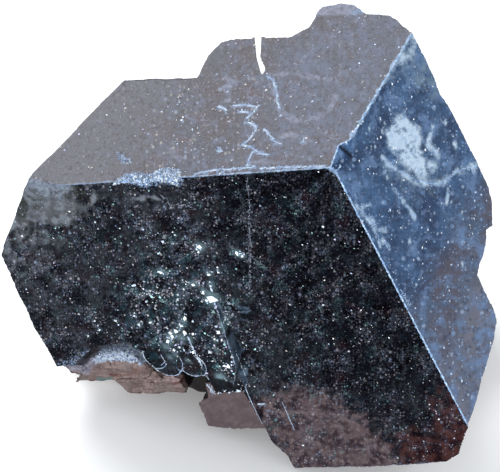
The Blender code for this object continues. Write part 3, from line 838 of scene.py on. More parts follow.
def stroke(points, lines, width):
    """1 along the lines, fading out across their width."""
    return smooth(-np.min([line_distance(points, line) for line in lines], axis=0), -width, 0)


def spots(points, rounds):
    """1 at the middle of each round spot, fading out at its radius."""
    near = [np.hypot(points[:, 0] - first, points[:, 1] - second) / radius
            for first, second, radius in rounds]
    return smooth(-np.min(near, axis=0), -1.3, -0.2)


def painted_halo_round(points, glints, reach=1.9):
    """A painted halo of light round each glint, falling off within a few times its radius."""
    total = np.zeros(len(points))
    for x, z, radius, shine in glints:
        distance = np.hypot(points[:, 0] - x, points[:, 1] - z)
        total += 0.4 * shine * np.exp(-(distance / (radius * reach)) ** 2)
    return np.minimum(total, 0.6)


class Marks:
    """Where each kind of mark lies on the crystal, as a value for every point of its mesh."""

    def __init__(self, dense):
        self.home = home = dense.home
        self.front, self.top, self.right = at(home, X, Z), at(home, X, Y), at(home, Y, Z)
        self.top_share = dense.zone_share(TOP)
        self.right_share = dense.zone_share(RIGHT)
        self.front_share = 1 - np.maximum(self.top_share, self.right_share)
        self.front_share *= smooth(-home[:, Y], -7.0, -4.0)
        self.plate, self.riser = dense.zone_share(PLATE), dense.zone_share(RISER)
        self.ragged = layered(home, 3.0, 21) * 0.9
        self.rag = np.stack([self.ragged, layered(home, 3.0, 31) * 0.9], axis=1)
        self.glint = patch(self.front, GLINT_ZONE, 2.5) * self.front_share

    def brown(self):
        # Painted reflection: the warm brown low on the front and on the recessed plate.
        foot = patch(self.front + self.rag, BROWN_FOOT_REFLECTION, 2.6) * self.front_share
        low_block = patch(self.front, STEP_BLOCK, 0.3)
        return np.maximum(foot, 1.25 * self.plate * (1 - low_block))

    def maroon(self):
        return patch(self.front + self.rag, MAROON_CORNER, 2.6) * self.front_share

    def pale(self):
        corner = patch(self.front + self.rag * 0.6, PALE_CORNER, 0.9) * self.front_share
        murk = np.maximum(patch(self.right + self.rag * 0.8, TOP_HAZE, 4.0) * 0.62,
                          patch(self.right + self.rag * 0.6, FAINT_PATCH, 2.4) * 0.6)
        return np.maximum(corner, murk * self.right_share)

    def olive(self):
        # Partly painted shade: the strokes are painted shadow under a small ledge at the front's
        # left corner, and the crease is painted shade at the foot of the chip's steep end. The knot
        # and the oval are dark marks.
        front, rag = self.front, self.rag * 0.3
        marks = np.max([stroke(front + rag, LEDGE_SHADOW_STROKES, 0.6) * 0.5,
                        patch(front + rag, CORNER_KNOT, 0.6) * 0.75,
                        patch(front, DARK_OVAL, 0.7) * 0.5], axis=0)
        crease = stroke(self.home, [CHIP_CREASE], 0.5)
        return np.maximum(marks * self.front_share, crease * self.right_share)

    def haze(self):
        across, up, ragged = -self.home[:, X], -self.home[:, Z], self.ragged
        front = smooth(across + ragged * 3, 12.0, 24.0) * (1 - 0.5 * self.glint)
        front = np.maximum(front, 0.5 * smooth(up + ragged * 2, 26.0, 34.0))
        top = 0.85 * smooth(across + ragged * 2, 18.0, 34.0)
        return np.where(self.top_share > 0.5, top, front)

    def dust(self):
        front, top, rag = self.front, self.top, self.rag
        on_the_front = np.max([patch(front + rag * 0.6, GREY_CORNER, 2.0) * 1.2,
                               patch(front + rag, DUSTY_LEFT, 4.0) * 0.4,
                               stroke(front, SMALL_LEDGE_LINES, 0.3) * 0.5,
                               stroke(front + rag * 0.3, OVAL_BORDERS, 0.7) * 0.6,
                               self.plate * patch(front + rag * 0.3, PLATE_FOOT, 0.9)], axis=0)
        on_the_top = np.max([patch(top + rag * 0.1, BACK_LEDGE, 0.4) * 0.8,
                             stroke(top + rag * 0.15, GROWTH_LINES, 0.75) * 0.7,
                             stroke(top + rag * 0.3, TOP_BLOTS, 0.9) * 0.8,
                             stroke(top, HEALED["top"], 0.5) * 0.55], axis=0)
        return np.where(self.top_share > 0.5, on_the_top, on_the_front)

    def strip(self):
        # Painted sky reflection on the step's blue-grey strips.
        front = self.front
        strips = [self.riser * 0.06, self.riser * patch(front, UPPER_STRIP, 0.35) * 1.2,
                  patch(front, LOWER_STRIP, 0.3), patch(front, LEDGE_STRIP, 0.25),
                  stroke(front, [THIN_STRIP], 0.4) * 0.9]
        return np.max(strips, axis=0) * self.front_share

    def frost(self):
        return (self.frost_top() * self.top_share + self.frost_right() * self.right_share
                + self.frost_front() * self.front_share)

    def frost_top(self):
        top, rag = self.top, self.rag
        return np.max([patch(top + rag * 0.25, TOP_CRUST, 0.5) * 0.75,
                       patch(top + rag * 0.15, CRUST_BLOB, 0.4) * 0.6,
                       patch(top + rag * 0.1, LEDGE_END, 0.5) * 0.8,
                       stroke(top, HEALED["top"], 0.45) * 0.75,
                       stroke(top, UPPER_EDGE, 0.5) * 0.85], axis=0)

    def frost_right(self):
        wavy = self.right + self.rag * 0.35
        white = patch(wavy, WHITE_PATCH, 1.5) * 1.55
        white *= 1 - 0.4 * patch(wavy, DIM_PATCH, 0.8)
        return np.max([white, patch(wavy, DIM_PATCH, 1.2) * 0.95,
                       stroke(wavy, WISPS, 0.9) * 0.9,
                       spots(wavy, RIGHT_SPOTS) * 0.85,
                       stroke(wavy, EDGE_SCUFFS, 0.6) * 0.85,
                       patch(wavy, FRAYED_EDGE, 1.5) * 0.8,
                       stroke(wavy, [E2_RIM], 0.7) * 0.8,
                       stroke(wavy, [SCUFF_ARC], 0.75) * 0.85,
                       stroke(wavy, [SCUFF_STREAK], 0.7) * 0.9], axis=0)

    def frost_front(self):
        front, rag = self.front, self.rag
        return np.max([patch(front + rag * 0.25, FRONT_CRUST, 0.5) * 0.7,
                       patch(front, CORNER_FACET, 0.15) * 0.8,
                       patch(front + rag * 0.4, LEFT_TIP, 0.8) * 0.45], axis=0)

    def sparkle(self, brown, strip):
        """How thickly glints stand: most in the glint zone, hardly any within the lobes."""
        shown = 0.54 + self.glint * 0.6 - brown * 0.1 - self.plate * 0.6 - strip * 0.7
        shown += 0.25 * smooth(-self.home[:, X], 12.0, 22.0)
        shown *= 1 - 0.7 * np.max([smooth(-np.hypot(*(self.front - lobe[:2]).T), -lobe[2],
                                          0.4 - lobe[2]) for lobe in LOBE_RIMS], axis=0)
        top = 0.3 + 0.7 * patch(self.top, SPECKLED_TOP, 3.0)
        return np.maximum(np.where(self.top_share > 0.5, top, shown), 0)

    def edge(self):
        # How strongly the pale line along the top's front edge shows: partly wear, partly painted
        # edge highlight.
        across = self.home[:, X]
        wear_and_highlight = 0.45 + 0.55 * smooth(across, -28.5, -25.0) + 0.4 * smooth(across, -11.0, -9.5)
        return np.minimum(wear_and_highlight, 1.0)

    def bluish(self):
        return np.maximum(patch(self.top + self.rag, BLUISH_TOP, 2.5) * 0.75,
                          patch(self.top + self.rag * 0.3, TOP_BAND, 1.2) * 0.8)


def crystal_fields(dense):
    marks = Marks(dense)
    brown, strip = marks.brown(), marks.strip()
    return {"dust": marks.dust(), "brown": brown, "maroon": marks.maroon(),
            "frost": marks.frost(), "strip": strip,
            "teal": (0.15 + marks.glint * 0.85) * (1 - 0.6 * marks.riser),
            "sparkle": marks.sparkle(brown, strip), "haze": marks.haze(),
            "bluish": marks.bluish(), "pale": marks.pale(), "olive": marks.olive(),
            "edge": marks.edge(), "painted_glint_halo": painted_halo_round(marks.front, GLINTS) * marks.front_share}


def carve_crystal(dense):
    """Relief: fine waves, tilted facets round the glints, worn edges, a rough back."""
    home, normal = dense.home, dense.normals()
    rough = dense.zone_share(ROUGH)
    glint = patch(at(home, X, Z), GLINT_ZONE, 2.0) * dense.zone_share(FRONT)
    way, chance = cells(home, 1.5, 7)
    tilt = ((chance[:, [0, 2]] - 0.5) * way[:, [X, Z]]).sum(1)
    facets = (0.12 + 0.3 * (chance[:, 1] - 0.5) * 0.3 + tilt * 0.34) * glint
    waves = 0.02 * (1 + layered(home, 2.4, 3)) + 0.006 * (1 + soft_noise(home, 0.5, 9))
    back = rough * (0.12 * (1 + layered(home, 3.2, 13)) + 0.05 * (1 + soft_noise(home, 0.9, 17)))
    depth = waves + np.maximum(facets, 0) + back
    apart = dense.edge_distance()
    wear = smooth(layered(home, 1.6, 41), -0.4, 0.7)
    edge = np.clip(1 - apart / 0.45, 0, 1) ** 2
    depth += edge * (0.04 + 0.16 * wear) * (1 + rough)
    depth[in_crack(home)] *= 0.15
    depth = np.minimum(depth, THIN_SHARE * dense.thickness(normal))
    dense.points = home - normal * depth[:, None]


def make_crystal():
    dense = Dense(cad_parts["aegirine"], crystal_zone, crystal_spacing, 5)
    fields = crystal_fields(dense)
    carve_crystal(dense)
    materials = [dark_material("aegirine_front", 0.0, 0.34, True), top_material(),
                 right_material(), dark_material("aegirine_rough", 0.15, 0.5, False),
                 dark_material("aegirine_riser", 0.08, 0.4, False),
                 dark_material("aegirine_plate", 0.03, 0.45, True)]
    crystal = dense.build("aegirine_crystal", materials, fields)
    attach(crystal, "root")
    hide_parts("aegirine")
    skin = Skin(dense)
    make_seams(skin)
    make_glints(dense, fields, skin)
    make_crust(skin)


# ---------------------------------------------------------------- marks on the crystal


def on_front(points):
    return [(x, 0.0, z) for x, z in points]


def on_top(points):
    return [(x, y, 0.0) for x, y in points]


def on_right(points):
    return [(0.0, y, z) for y, z in points]


class Skin:
    """The crystal's surface, found along the line of sight, so that each mark sits on it."""

    def __init__(self, dense):
        self.tree = dense.tree()

    def seen(self, point):
        eye = Vector(EYE_LOCAL)
        way = (Vector(point) - eye).normalized()
        place, normal, _, _ = self.tree.ray_cast(eye, way)
        if place is None:
            place, normal, _, _ = self.tree.find_nearest(Vector(point))
        return place, normal if normal.dot(way) < 0 else -normal


def sampled(line, step, wander, rng):
    """Points along a line of corners, a step apart, each moved a little to the side."""
    places = [Vector(p) for p in line]
    found = []
    for a, b in zip(places, places[1:]):
        count = max(1, round((b - a).length / step))
        found += [a.lerp(b, k / count) for k in range(count)]
    found.append(places[-1])
    return [p + Vector(rng.uniform(-wander, wander, 3)) for p in found]


class Seams:
    """Thin raised threads of pale material, gathered into one mesh."""

    def __init__(self, skin, seed):
        self.skin, self.rng = skin, np.random.default_rng(seed)
        self.points, self.faces = [], []

    def thread(self, line, width=0.11, rise=0.035, wander=0.05, broken=0.0, step=0.14):
        places = [self.skin.seen(p) for p in sampled(line, step, wander, self.rng)]
        last, running = None, False
        for number, (place, normal) in enumerate(places):
            before = places[max(number - 1, 0)][0]
            after = places[min(number + 1, len(places) - 1)][0]
            along = (after - before).normalized()
            aside = normal.cross(along)
            ends = number in (0, len(places) - 1)
            half = width / 2 * (0.25 if ends else self.rng.uniform(0.45, 1.25))
            start = len(self.points)
            self.points += [place - aside * half - normal * 0.02, place + normal * rise,
                            place + aside * half - normal * 0.02]
            joined = last is not None and self.rng.random() >= broken
            if joined and not running:
                self.faces.append((last, last + 1, last + 2))
            if joined:
                self.wall(last, start)
            if running and not joined:
                self.faces.append((last + 2, last + 1, last))
            last, running = start, joined
        if running:
            self.faces.append((last + 2, last + 1, last))

    def wall(self, last, start):
        """The three sides of a thread between two of its stations, facing outwards."""
        for k in range(3):
            after = (k + 1) % 3
            self.faces.append((start + k, start + after, last + after, last + k))

    def build(self, name, material, slot):
        return loose_piece(name, self.points, self.faces, material)


def loose_piece(name, points, faces, material, tints=None):
    mesh = bpy.data.meshes.new(name)
    mesh.from_pydata(to_world([tuple(p) for p in points]).tolist(), [], faces)
    mesh.materials.append(material)
    place = mesh.attributes.new("crystal_mm", "FLOAT_VECTOR", "POINT")
    place.data.foreach_set("vector", np.array([tuple(p) for p in points], np.float32).ravel())
    if tints is not None:
        colour = mesh.attributes.new("tint", "FLOAT_COLOR", "POINT")
        colour.data.foreach_set("color", np.array(tints, np.float32).ravel())
    made = add(name, mesh)
    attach(made, "root")
    return made


GRAIN_CORNERS = np.array([(1, 0, 0), (-1, 0, 0), (0, 1, 0), (0, -1, 0), (0, 0, 1), (0, 0, -1.0)])
GRAIN_FACES = np.array([(0, 2, 4), (2, 1, 4), (1, 3, 4), (3, 0, 4),
                        (2, 0, 5), (1, 2, 5), (3, 1, 5), (0, 3, 5)])


class Grains:
    """Tiny crystals set in the surface at all angles, gathered into one mesh."""

    def __init__(self, seed):
        self.rng = np.random.default_rng(seed)
        self.middles, self.normals, self.sizes, self.tints = [], [], [], []

    def put(self, place, normal, size, tint, shine):
        self.middles.append(tuple(place))
        self.normals.append(tuple(normal))
        self.sizes.append(size)
        self.tints.append([c * shine for c in tint[:3]] + [1.0])

    def scatter(self, dense, zone, count, size, weight, tints, dim=2.0, least=0.0):
        """Grains over a zone, thickest where the weight of the place is highest."""
        kept = np.flatnonzero(dense.zones == zone)
        corners = dense.triangles[kept]
        a, b, c = (dense.points[corners[:, k]] for k in range(3))
        normal = np.cross(b - a, c - a)
        area = np.linalg.norm(normal, axis=1)
        chance = area * np.maximum(weight[corners].mean(1), 0)
        picked = self.rng.choice(len(kept), count, p=chance / chance.sum())
        u, v = self.rng.random((2, count, 1))
        u, v = np.where(u + v > 1, 1 - u, u), np.where(u + v > 1, 1 - v, v)
        place = a[picked] + u * (b - a)[picked] + v * (c - a)[picked]
        way = normal[picked] / area[picked][:, None]
        for spot, up in zip(place, way):
            shine = least + (1 - least) * self.rng.random() ** dim
            tint = tints[self.rng.integers(len(tints))]
            self.put(spot, up, size[0] + (size[1] - size[0]) * self.rng.random() ** 2, tint, shine)

    def build(self, name, material, slot):
        count = len(self.middles)
        turn = np.linalg.qr(self.rng.normal(size=(count, 3, 3)))[0]
        corners = GRAIN_CORNERS * self.rng.uniform(0.35, 1.45, (count, 6, 1))
        corners = np.einsum("nij,nkj->nki", turn, corners)
        normals = np.array(self.normals)
        above = np.einsum("nki,ni->nk", corners, normals)
        corners = corners - above[:, :, None] * normals[:, None, :] * 0.45
        sizes = np.array(self.sizes)
        middles = np.array(self.middles) + normals * sizes[:, None] * 0.1
        points = (middles[:, None, :] + corners * sizes[:, None, None]).reshape(-1, 3)
        faces = (GRAIN_FACES[None] + 6 * np.arange(count)[:, None, None]).reshape(-1, 3)
        tints = np.repeat(np.array(self.tints), 6, axis=0)
        return loose_piece(name, points, faces.tolist(), material, tints)


def tinted_material(name, roughness, specular):
    """Small bright crystals, each in its own tint, with a little unevenness."""
    graph = Graph(name, specular, roughness)
    tint = graph.attribute("tint").outputs["Color"]
    fine = graph.noise(graph.place(), 3.0, 3.0)
    shade = graph.mix(0.35, tint, linear(110, 116, 130))
    colour = graph.mix(graph.ramp(fine, 0.45, 0.8, 0.0, 0.6), tint, shade)
    return graph.finish(colour, graph.ramp(fine, 0.3, 0.8, roughness, roughness + 0.25))


def seam_material(name, pale, dull):
    """Healed cracks and worn rims: pale and chalky, with duller stretches."""
    graph = Graph(name, 0.4, 0.5)
    place = graph.place()
    colour = graph.mix(graph.ramp(graph.noise(place, 0.9, 3.0), 0.35, 0.65), pale, dull)
    colour = graph.mix(graph.ramp(graph.noise(place, 3.0, 3.0), 0.4, 0.75, 0, 0.5), colour,
                       linear(86, 92, 110))
    return graph.finish(colour)


BLUE_WHITE = bright(205, 225, 252)
ICE = bright(238, 248, 255)
TEAL_WHITE = bright(170, 228, 226)
CREAM = bright(230, 226, 222)
LILAC = bright(205, 200, 236)

# Glints on the front, painted as near-white grains: X, Z, radius and brightness.
GLINTS = [
    (-23.1, -16.6, 0.42, 1.0), (-21.1, -9.5, 0.30, 1.0), (-16.9, -10.5, 0.26, 0.9),
    (-27.7, -12.7, 0.26, 0.95), (-23.0, -19.7, 0.22, 1.0), (-24.5, -14.6, 0.24, 0.95),
    (-25.7, -26.3, 0.32, 1.0), (-23.8, -15.7, 0.18, 0.9), (-23.9, -16.9, 0.16, 0.9),
    (-21.9, -13.3, 0.20, 0.95), (-22.4, -14.9, 0.22, 0.9), (-20.5, -13.0, 0.14, 0.6),
    (-32.7, -19.6, 0.18, 0.8), (-34.2, -18.6, 0.16, 0.6), (-37.0, -19.2, 0.14, 0.6),
    (-34.3, -19.9, 0.16, 0.7), (-28.0, -19.3, 0.2, 0.9), (-28.9, -20.2, 0.2, 0.9),
    (-30.8, -21.2, 0.2, 0.95), (-29.0, -21.2, 0.24, 1.0), (-31.7, -22.4, 0.22, 0.95),
    (-30.8, -21.8, 0.2, 0.9), (-28.0, -21.5, 0.2, 0.9), (-30.7, -23.4, 0.17, 0.9),
    (-31.6, -23.7, 0.17, 0.9), (-24.8, -22.5, 0.18, 0.8), (-39.8, -20.4, 0.12, 0.5),
    (-41.8, -21.2, 0.12, 0.5), (-29.9, -20.9, 0.24, 1.0), (-29.3, -24.1, 0.18, 0.95),
    (-22.9, -20.3, 0.16, 0.85), (-16.4, -11.0, 0.18, 0.8), (-21.6, -10.1, 0.14, 0.8),
    (-26.2, -26.2, 0.2, 0.9), (-24.6, -21.4, 0.18, 0.8),
]
GLINT_CLUSTER = 4

HEALED = {
    "front": [
        [(-28.9, -21.9), (-29.1, -24.1), (-29.2, -26.2)],
        [(-30.2, -27.4), (-29.8, -29.1), (-29.5, -30.4)],
        [(-21.5, -17.2), (-20.9, -17.6)],
        [(-24.8, -31.9), (-23.7, -32.0)],
    ],
    "top": [
        [(-15.6, 16.0), (-14.2, 14.8), (-13.2, 13.3), (-12.2, 11.4), (-11.3, 10.3)],
        [(-19.7, 11.3), (-18.7, 11.0), (-18.1, 10.5)],
        [(-17.8, 11.3), (-16.3, 11.3), (-14.4, 10.8), (-14.5, 9.9), (-14.9, 8.9)],
        [(-16.5, 10.1), (-15.8, 10.2), (-15.0, 9.9)],
        [(-14.6, 8.4), (-13.7, 8.0), (-12.8, 7.3), (-12.8, 6.4), (-12.8, 5.5), (-13.4, 4.6),
         (-12.1, 4.3), (-11.3, 3.7), (-10.2, 3.0), (-9.2, 2.8)],
        [(-11.3, 3.7), (-11.4, 2.6), (-11.0, 1.0)],
        [(-11.8, 7.1), (-10.6, 6.0), (-9.6, 5.1), (-9.1, 4.6), (-8.3, 4.4)],
        [(-6.2, 4.7), (-5.9, 5.0), (-5.7, 4.4)],
        [(-16.4, 4.6), (-15.8, 4.2), (-16.1, 3.8), (-15.4, 3.9)],
    ],
}
FAINT_FRONT = [
    [(-10.8, -0.6), (-12.2, -4.2), (-13.6, -6.8), (-14.7, -9.5), (-16.1, -12.3), (-17.8, -15.7)],
    [(-22.4, -2.1), (-21.9, -3.6), (-20.1, -3.7), (-19.0, -4.2)],
]
BRIGHT_RIMS = [
    [(-25.1, -29.2), (-25.4, -31.3), (-25.5, -33.1), (-25.6, -34.9)],
    [(-21.5, -31.7), (-21.7, -33.8), (-21.9, -35.9)],
]
# Painted shade falls along this crease on the right face.
CHIP_CREASE = [(-1.0, 3.5, 0.0), (0.0, 3.3, -1.4)]  # at the foot of the chip's steep end
CHIP_RIMS = [
    [(-0.35, 0.0, 0.0), (-1.0, 3.5, 0.0), (0.0, 4.3, 0.0)],
    [(0.0, 4.3, 0.0), (0.0, 12.0, 0.0), (0.0, 21.3, 0.0)],
    [(0.0, 0.0, -1.2), (0.0, 0.0, -12.0), (0.0, 0.0, -24.0), (0.0, 0.0, -35.5)],
    [(-0.35, 0.0, 0.0), (0.0, 0.0, -0.5), (0.0, 1.2, -0.85)],
    [(-0.7, 0.0, 0.0), (-0.35, 0.0, 0.0), (0.0, 0.0, -0.5), (0.0, 0.0, -1.2)],
]
RIGHT_SCRATCHES = [SCUFF_ARC, SCUFF_STREAK, *EDGE_SCUFFS, *WISPS,
                   [(0.4, -16.5), (0.5, -18.4), (0.9, -20.0)]]
RISER_LINES = [
    [(-22.9, 0.0, -16.5), (-22.8, -1.2, -20.4), (-22.7, -2.4, -24.4)],
    [(-22.7, -2.4, -24.4), (-24.6, -2.0, -27.2)],
    [(-24.1, 0.3, -24.4), (-24.7, 0.3, -28.9), (-26.1, 0.3, -30.5)],
]
BOTTOM_EDGE = [(-21.0, -41.8), (-11.0, -41.6), (-5.2, -41.0)]
BLOCK_FOOT = [(-29.8, -30.7), (-26.1, -30.5), (-24.8, -29.2)]
PLACED = {"front": on_front, "top": on_top}

LOBE_RIMS = [(-34.0, -24.0, 1.5, -0.9, 130, 330), (-32.6, -24.5, 2.1, -1.2, 185, 350),
             (-29.3, -24.7, 1.9, -1.4, 185, 400)]
LOBE_BORDERS = [
    [(-32.5, -1.2, -23.2), (-32.5, -1.2, -24.3), (-33.3, -1.2, -24.8)],
    [(-30.2, -1.3, -23.4), (-30.2, -1.3, -24.5), (-30.8, -1.3, -25.4)],
]


def lobe_rim(across, up, radius, near, start, end):
    """The arc where a lobe's flat front meets its side, from one angle to another."""
    turns = [radians(start + (end - start) * k / 24) for k in range(25)]
    return [(across + radius * cos(t), near, up + radius * sin(t)) for t in turns]


def make_seams(skin):
    seams = Seams(skin, 91)
    for side, lines in HEALED.items():
        for line in lines:
            seams.thread(PLACED[side](line), width=0.32, wander=0.07, broken=0.05)
            seams.thread(PLACED[side](line), width=0.14, wander=0.28, broken=0.5)
    for line in BOLD_SEAMS:
        seams.thread(on_top(line), width=0.5, wander=0.06)
    for line in UPPER_EDGE:
        seams.thread(on_top(line), width=0.34, wander=0.08, broken=0.1)
        seams.thread(on_top(line), width=0.2, wander=0.2, broken=0.4)
    for line in RISER_LINES:
        seams.thread(line, width=0.13, wander=0.05, broken=0.3)
    for rim in BRIGHT_RIMS:
        seams.thread(on_front(rim), width=0.16, wander=0.03)
    for rim in LOBE_RIMS:
        seams.thread(lobe_rim(*rim), width=0.17, rise=0.06, wander=0.02)
    for line in LOBE_BORDERS:
        seams.thread(line, width=0.14, wander=0.03, broken=0.1)
    seams.build("healed_cracks", seam_material(
        "pale_seam", bright(176, 190, 206), bright(124, 144, 174)), "aegirine")
    scratches = Seams(skin, 95)
    for rim in CHIP_RIMS:
        scratches.thread(rim, width=0.22, wander=0.04, broken=0.05)
    for line in RIGHT_SCRATCHES:
        scratches.thread(on_right(line), width=0.18, wander=0.14, broken=0.35)
        scratches.thread(on_right(line), width=0.12, wander=0.3, broken=0.55)
    scratches.build("right_scratches", seam_material(
        "scratch", bright(176, 204, 232), bright(124, 158, 200)), "aegirine")
    faint = Seams(skin, 92)
    for line in FAINT_FRONT:
        faint.thread(on_front(line), width=0.15, wander=0.1, broken=0.3)
        faint.thread(on_front(line), width=0.1, wander=0.35, broken=0.6)
    faint.thread(on_front(BOTTOM_EDGE), width=0.14, wander=0.05, broken=0.15)
    for line in GROWTH_LINES:
        faint.thread(on_top(line), width=0.12, wander=0.2, broken=0.45)
    faint.build("growth_lines", seam_material(
        "faint_seam", linear(184, 194, 216), linear(140, 148, 170)), "aegirine")


def make_glints(dense, fields, skin):
    grains = Grains(93)
    tints = [BLUE_WHITE, ICE, TEAL_WHITE, ICE, CREAM, LILAC]
    # Painted glints: a near-white grain at each glint, with smaller ones round it.
    for x, z, radius, shine in GLINTS:
        place, normal = skin.seen((x, 0.0, z))
        grains.put(place, normal, radius * 1.3, ICE, 1.0)
        for _ in range(GLINT_CLUSTER):
            aside = Vector(grains.rng.normal(size=3)) * radius * 1.1
            spot, way = skin.seen(place + aside)
            grains.put(spot, way, radius * grains.rng.uniform(0.25, 0.6), BLUE_WHITE, shine)
    home = dense.home
    crowd = 0.5 + smooth(layered(home, 2.6, 95), -0.2, 0.6)
    glint = patch(at(home, X, Z), GLINT_ZONE, 2.5)
    quiet = 1 - 0.6 * fields["brown"] - 0.5 * fields["dust"]
    grains.scatter(dense, FRONT, 1300, (0.06, 0.16), crowd * quiet, tints, 3.2)
    # More painted glints, crowded into the glint zone.
    grains.scatter(dense, FRONT, 300, (0.07, 0.24), glint**2 * crowd**2, tints, 1.6, 0.15)
    foot = smooth(-line_distance(at(home, X, Z), BLOCK_FOOT), -0.7, -0.1)
    grains.scatter(dense, PLATE, 60, (0.08, 0.22), foot, [ICE, BLUE_WHITE], 0.6)
    grains.build("front_glints", tinted_material("glint_crystal", 0.25, 0.6), "aegirine")
    pale = Grains(94)
    speckled = patch(at(home, X, Y), SPECKLED_TOP, 2.0)
    tops = [BLUE_WHITE, CREAM, LILAC, bright(170, 170, 165)]
    pale.scatter(dense, TOP, 380, (0.06, 0.18), 0.3 + speckled * crowd, tops, 1.5, 0.45)
    pale.scatter(dense, RIGHT, 220, (0.05, 0.17), crowd, [BLUE_WHITE, ICE], 1.0, 0.75)
    pale.build("pale_specks", tinted_material("pale_crystal", 0.4, 0.4), "aegirine")


CRUSTS = [(TOP_CRUST, on_top, 800), (FRONT_CRUST, on_front, 380), (CRUST_BLOB, on_top, 130),
          *((spot, on_top, 50) for spot in EDGE_SPOTS)]


def make_crust(skin):
    """The frost of tiny crystals along the top edge, and in the small patch above it."""
    crust = Grains(96)
    rng = crust.rng
    tints = (BLUE_WHITE, ICE, bright(150, 185, 235), bright(120, 150, 190))
    for outline, placed, count in CRUSTS:
        low, high = np.min(outline, axis=0) - 0.4, np.max(outline, axis=0) + 0.4
        tries = rng.uniform(low, high, (count * 4, 2))
        deep = np.column_stack([tries, np.zeros(len(tries))])
        score = patch(tries, outline, 0.7) + 0.45 * layered(deep, 1.0, 97)
        for spot in tries[score > 0.62][:count]:
            place, normal = skin.seen(placed([tuple(spot)])[0])
            tint = tints[rng.integers(len(tints))]
            crust.put(place, normal, rng.uniform(0.06, 0.15), tint, rng.uniform(0.15, 0.85))
    crust.build("edge_frost", tinted_material("frost_crystal", 0.4, 0.4), "aegirine")


# ---------------------------------------------------------------- the matrix

RIM = [(-42.8, -25.0), (-41.1, -22.4), (-39.3, -21.7), (-37.6, -21.6), (-35.3, -22.0),
       (-34.0, -23.0), (-34.8, -25.3), (-35.8, -25.2), (-37.2, -24.8), (-39.8, -24.6),
       (-41.4, -24.8)]
ASHEN = [(-49.0, -25.0), (-44.0, -23.4), (-42.0, -23.4), (-41.6, -24.6), (-43.4, -25.6),
         (-45.4, -26.4), (-49.0, -27.5)]
GREEN_PATCH = [(-43.4, -26.8), (-41.2, -26.8), (-41.5, -28.2), (-43.4, -28.0)]
RUST_STREAKS = [[(-34.4, -27.6), (-32.6, -27.6), (-30.6, -28.1)],
                [(-35.1, -29.5), (-34.5, -29.4), (-33.8, -29.4)],
                [(-41.2, -26.6), (-40.2, -26.9)]]
SHADED_GAP = [(-32.9, -26.6), (-28.2, -27.0), (-29.6, -30.9), (-33.0, -30.8)]
SHOWN, BEHIND = 0, 1  # sides of the matrix
TOWARDS_FRONT = Vector((0.546, -0.65, 0.527))  # out of the front, to the right and upwards
GAP_SLANT = np.array((0.879, 0.835))  # how the shaded gap runs back, for each mm of depth
PINK_BAND = [(-36.8, -28.6), (-35.2, -29.1), (-32.6, -28.7), (-31.0, -28.3)]


def in_sight(face):
    """Whether a face of the matrix is in the low left part that the photo shows."""
    middle = face.calc_center_median()
    return middle.x < -22 and middle.y < 16 and middle.z < -20


def matrix_zone(face):
    return SHOWN if in_sight(face) and face.normal.dot(TOWARDS_FRONT) > 0.2 else BEHIND


def matrix_spacing(face, zone):
    return 0.32 if in_sight(face) and face.normal.y < 0.6 else 0.62


def matrix_fields(dense):
    home = dense.home
    front = at(home, X, Z)
    ragged = np.stack([layered(home, 2.0, 51), layered(home, 2.0, 61)], axis=1) * 0.5
    near = (home[:, Y] < 9).astype(float)
    back = home[:, [Y]]
    # Painted shade: the gap under the lobes, carried back along the line of depth.
    shade = patch(front + back * GAP_SLANT, SHADED_GAP, 0.5) * dense.zone_share(SHOWN)
    # frost: the rim, partly frost and partly a painted reflection of the sky.
    return {"frost": patch(front + ragged * 0.5, RIM, 0.6) * near,
            "ash": patch(front + ragged, ASHEN, 0.8) * near,
            "rust": stroke(front + ragged * 0.5, RUST_STREAKS, 0.7) * near,
            "pink": stroke(front + ragged * 0.4, [PINK_BAND], 0.8) * near,
            "shade": shade * (home[:, Y] > 2.0),
            "green": patch(front + ragged * 0.5, GREEN_PATCH, 0.5) * near}


def carve_matrix(dense):
    """Cleavage: terraces cut back in steps, small chips and worn edges."""
    home, normal = dense.home, dense.normals()
    height = (home @ AXES.T + CORNER)[:, Z]
    _, chance = cells(home * (0.5, 1.0, 1.3), 1.9, 71)
    terraces = 0.28 * np.round(chance[:, 0] * 3) / 3
    waves = 0.04 * (1 + layered(home, 2.0, 73)) + 0.02 * (1 + soft_noise(home, 0.5, 79))
    apart = dense.edge_distance()
    wear = smooth(layered(home, 1.3, 83), -0.4, 0.6)
    edge = np.clip(1 - apart / 0.6, 0, 1) ** 2
    depth = terraces + waves + edge * (0.05 + 0.3 * wear)
    depth *= smooth(height, 0.02, 0.7)
    depth = np.minimum(depth, THIN_SHARE * dense.thickness(normal))
    dense.points = home - normal * depth[:, None]


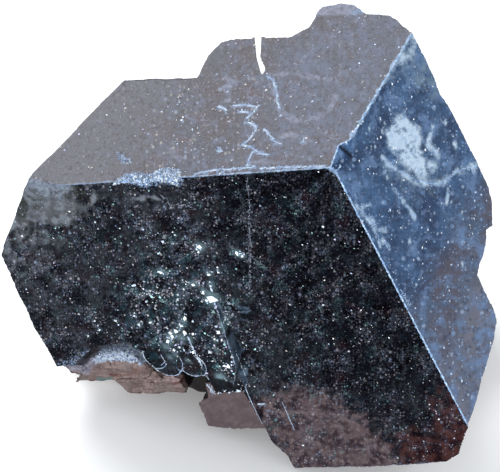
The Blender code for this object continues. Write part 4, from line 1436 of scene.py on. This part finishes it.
def make_matrix():
    dense = Dense(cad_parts["orthoclase"], matrix_zone, matrix_spacing, 6)
    fields = matrix_fields(dense)
    carve_matrix(dense)
    materials = [matrix_material("orthoclase_pink", True),
                 matrix_material("orthoclase_behind", False)]
    matrix = dense.build("orthoclase_matrix", materials, fields)
    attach(matrix, "root")
    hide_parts("orthoclase")
    rime = Grains(98)
    tints = [BLUE_WHITE, ICE, bright(150, 175, 220), bright(110, 125, 160), LILAC]
    rime.scatter(dense, SHOWN, 380, (0.05, 0.15), fields["frost"] ** 2, tints, 1.4, 0.1)
    rime.build("rim_frost", tinted_material("rime_crystal", 0.4, 0.4), "orthoclase")


# ---------------------------------------------------------------- stage, light and camera


def plain_material(name, colour, roughness):
    graph = Graph(name, 0.2, roughness)
    graph.surface.inputs["Base Color"].default_value = colour
    return graph.material


def make_floor():
    shape = bmesh.new()
    bmesh.ops.create_grid(shape, x_segments=1, y_segments=1, size=2.0)
    mesh = bpy.data.meshes.new("floor")
    shape.to_mesh(mesh)
    shape.free()
    mesh.materials.append(plain_material("pale_floor", (0.93, 0.93, 0.93, 1), 0.9))
    add("floor", mesh)


def make_light(name, place, size, power, colour=(1, 1, 1)):
    lamp = bpy.data.lights.new(name, "AREA")
    lamp.shape = "DISK"
    lamp.size = size
    lamp.energy = power
    lamp.color = colour
    made = add(name, lamp)
    made.location = place
    made.rotation_euler = (Vector(place) - Vector((0, 0, 0.025))).to_track_quat("Z", "Y").to_euler()
    made.visible_camera = False


def make_world():
    world = bpy.data.worlds.new("studio")
    world.use_nodes = True
    sky = world.node_tree.nodes["Background"]
    sky.inputs["Color"].default_value = (0.93, 0.96, 1.0, 1)
    sky.inputs["Strength"].default_value = 1.05
    bpy.context.scene.world = world


def make_camera():
    lens = bpy.data.cameras.new("camera")
    lens.lens = LENS
    lens.sensor_width = 36.0
    lens.clip_start = 0.01
    made = add("camera", lens)
    made.location = EYE * MM
    made.rotation_euler = (radians(EYE_TILT), 0, 0)
    bpy.context.scene.camera = made


make_camera()
make_world()
make_floor()
make_light("key", (-0.35, 0.55, 0.75), 0.5, 7.0)
make_light("fill", (-0.4, -0.9, 0.2), 0.6, 9.0)
bpy.context.scene.view_settings.view_transform = "Standard"
make_crystal()
make_matrix()
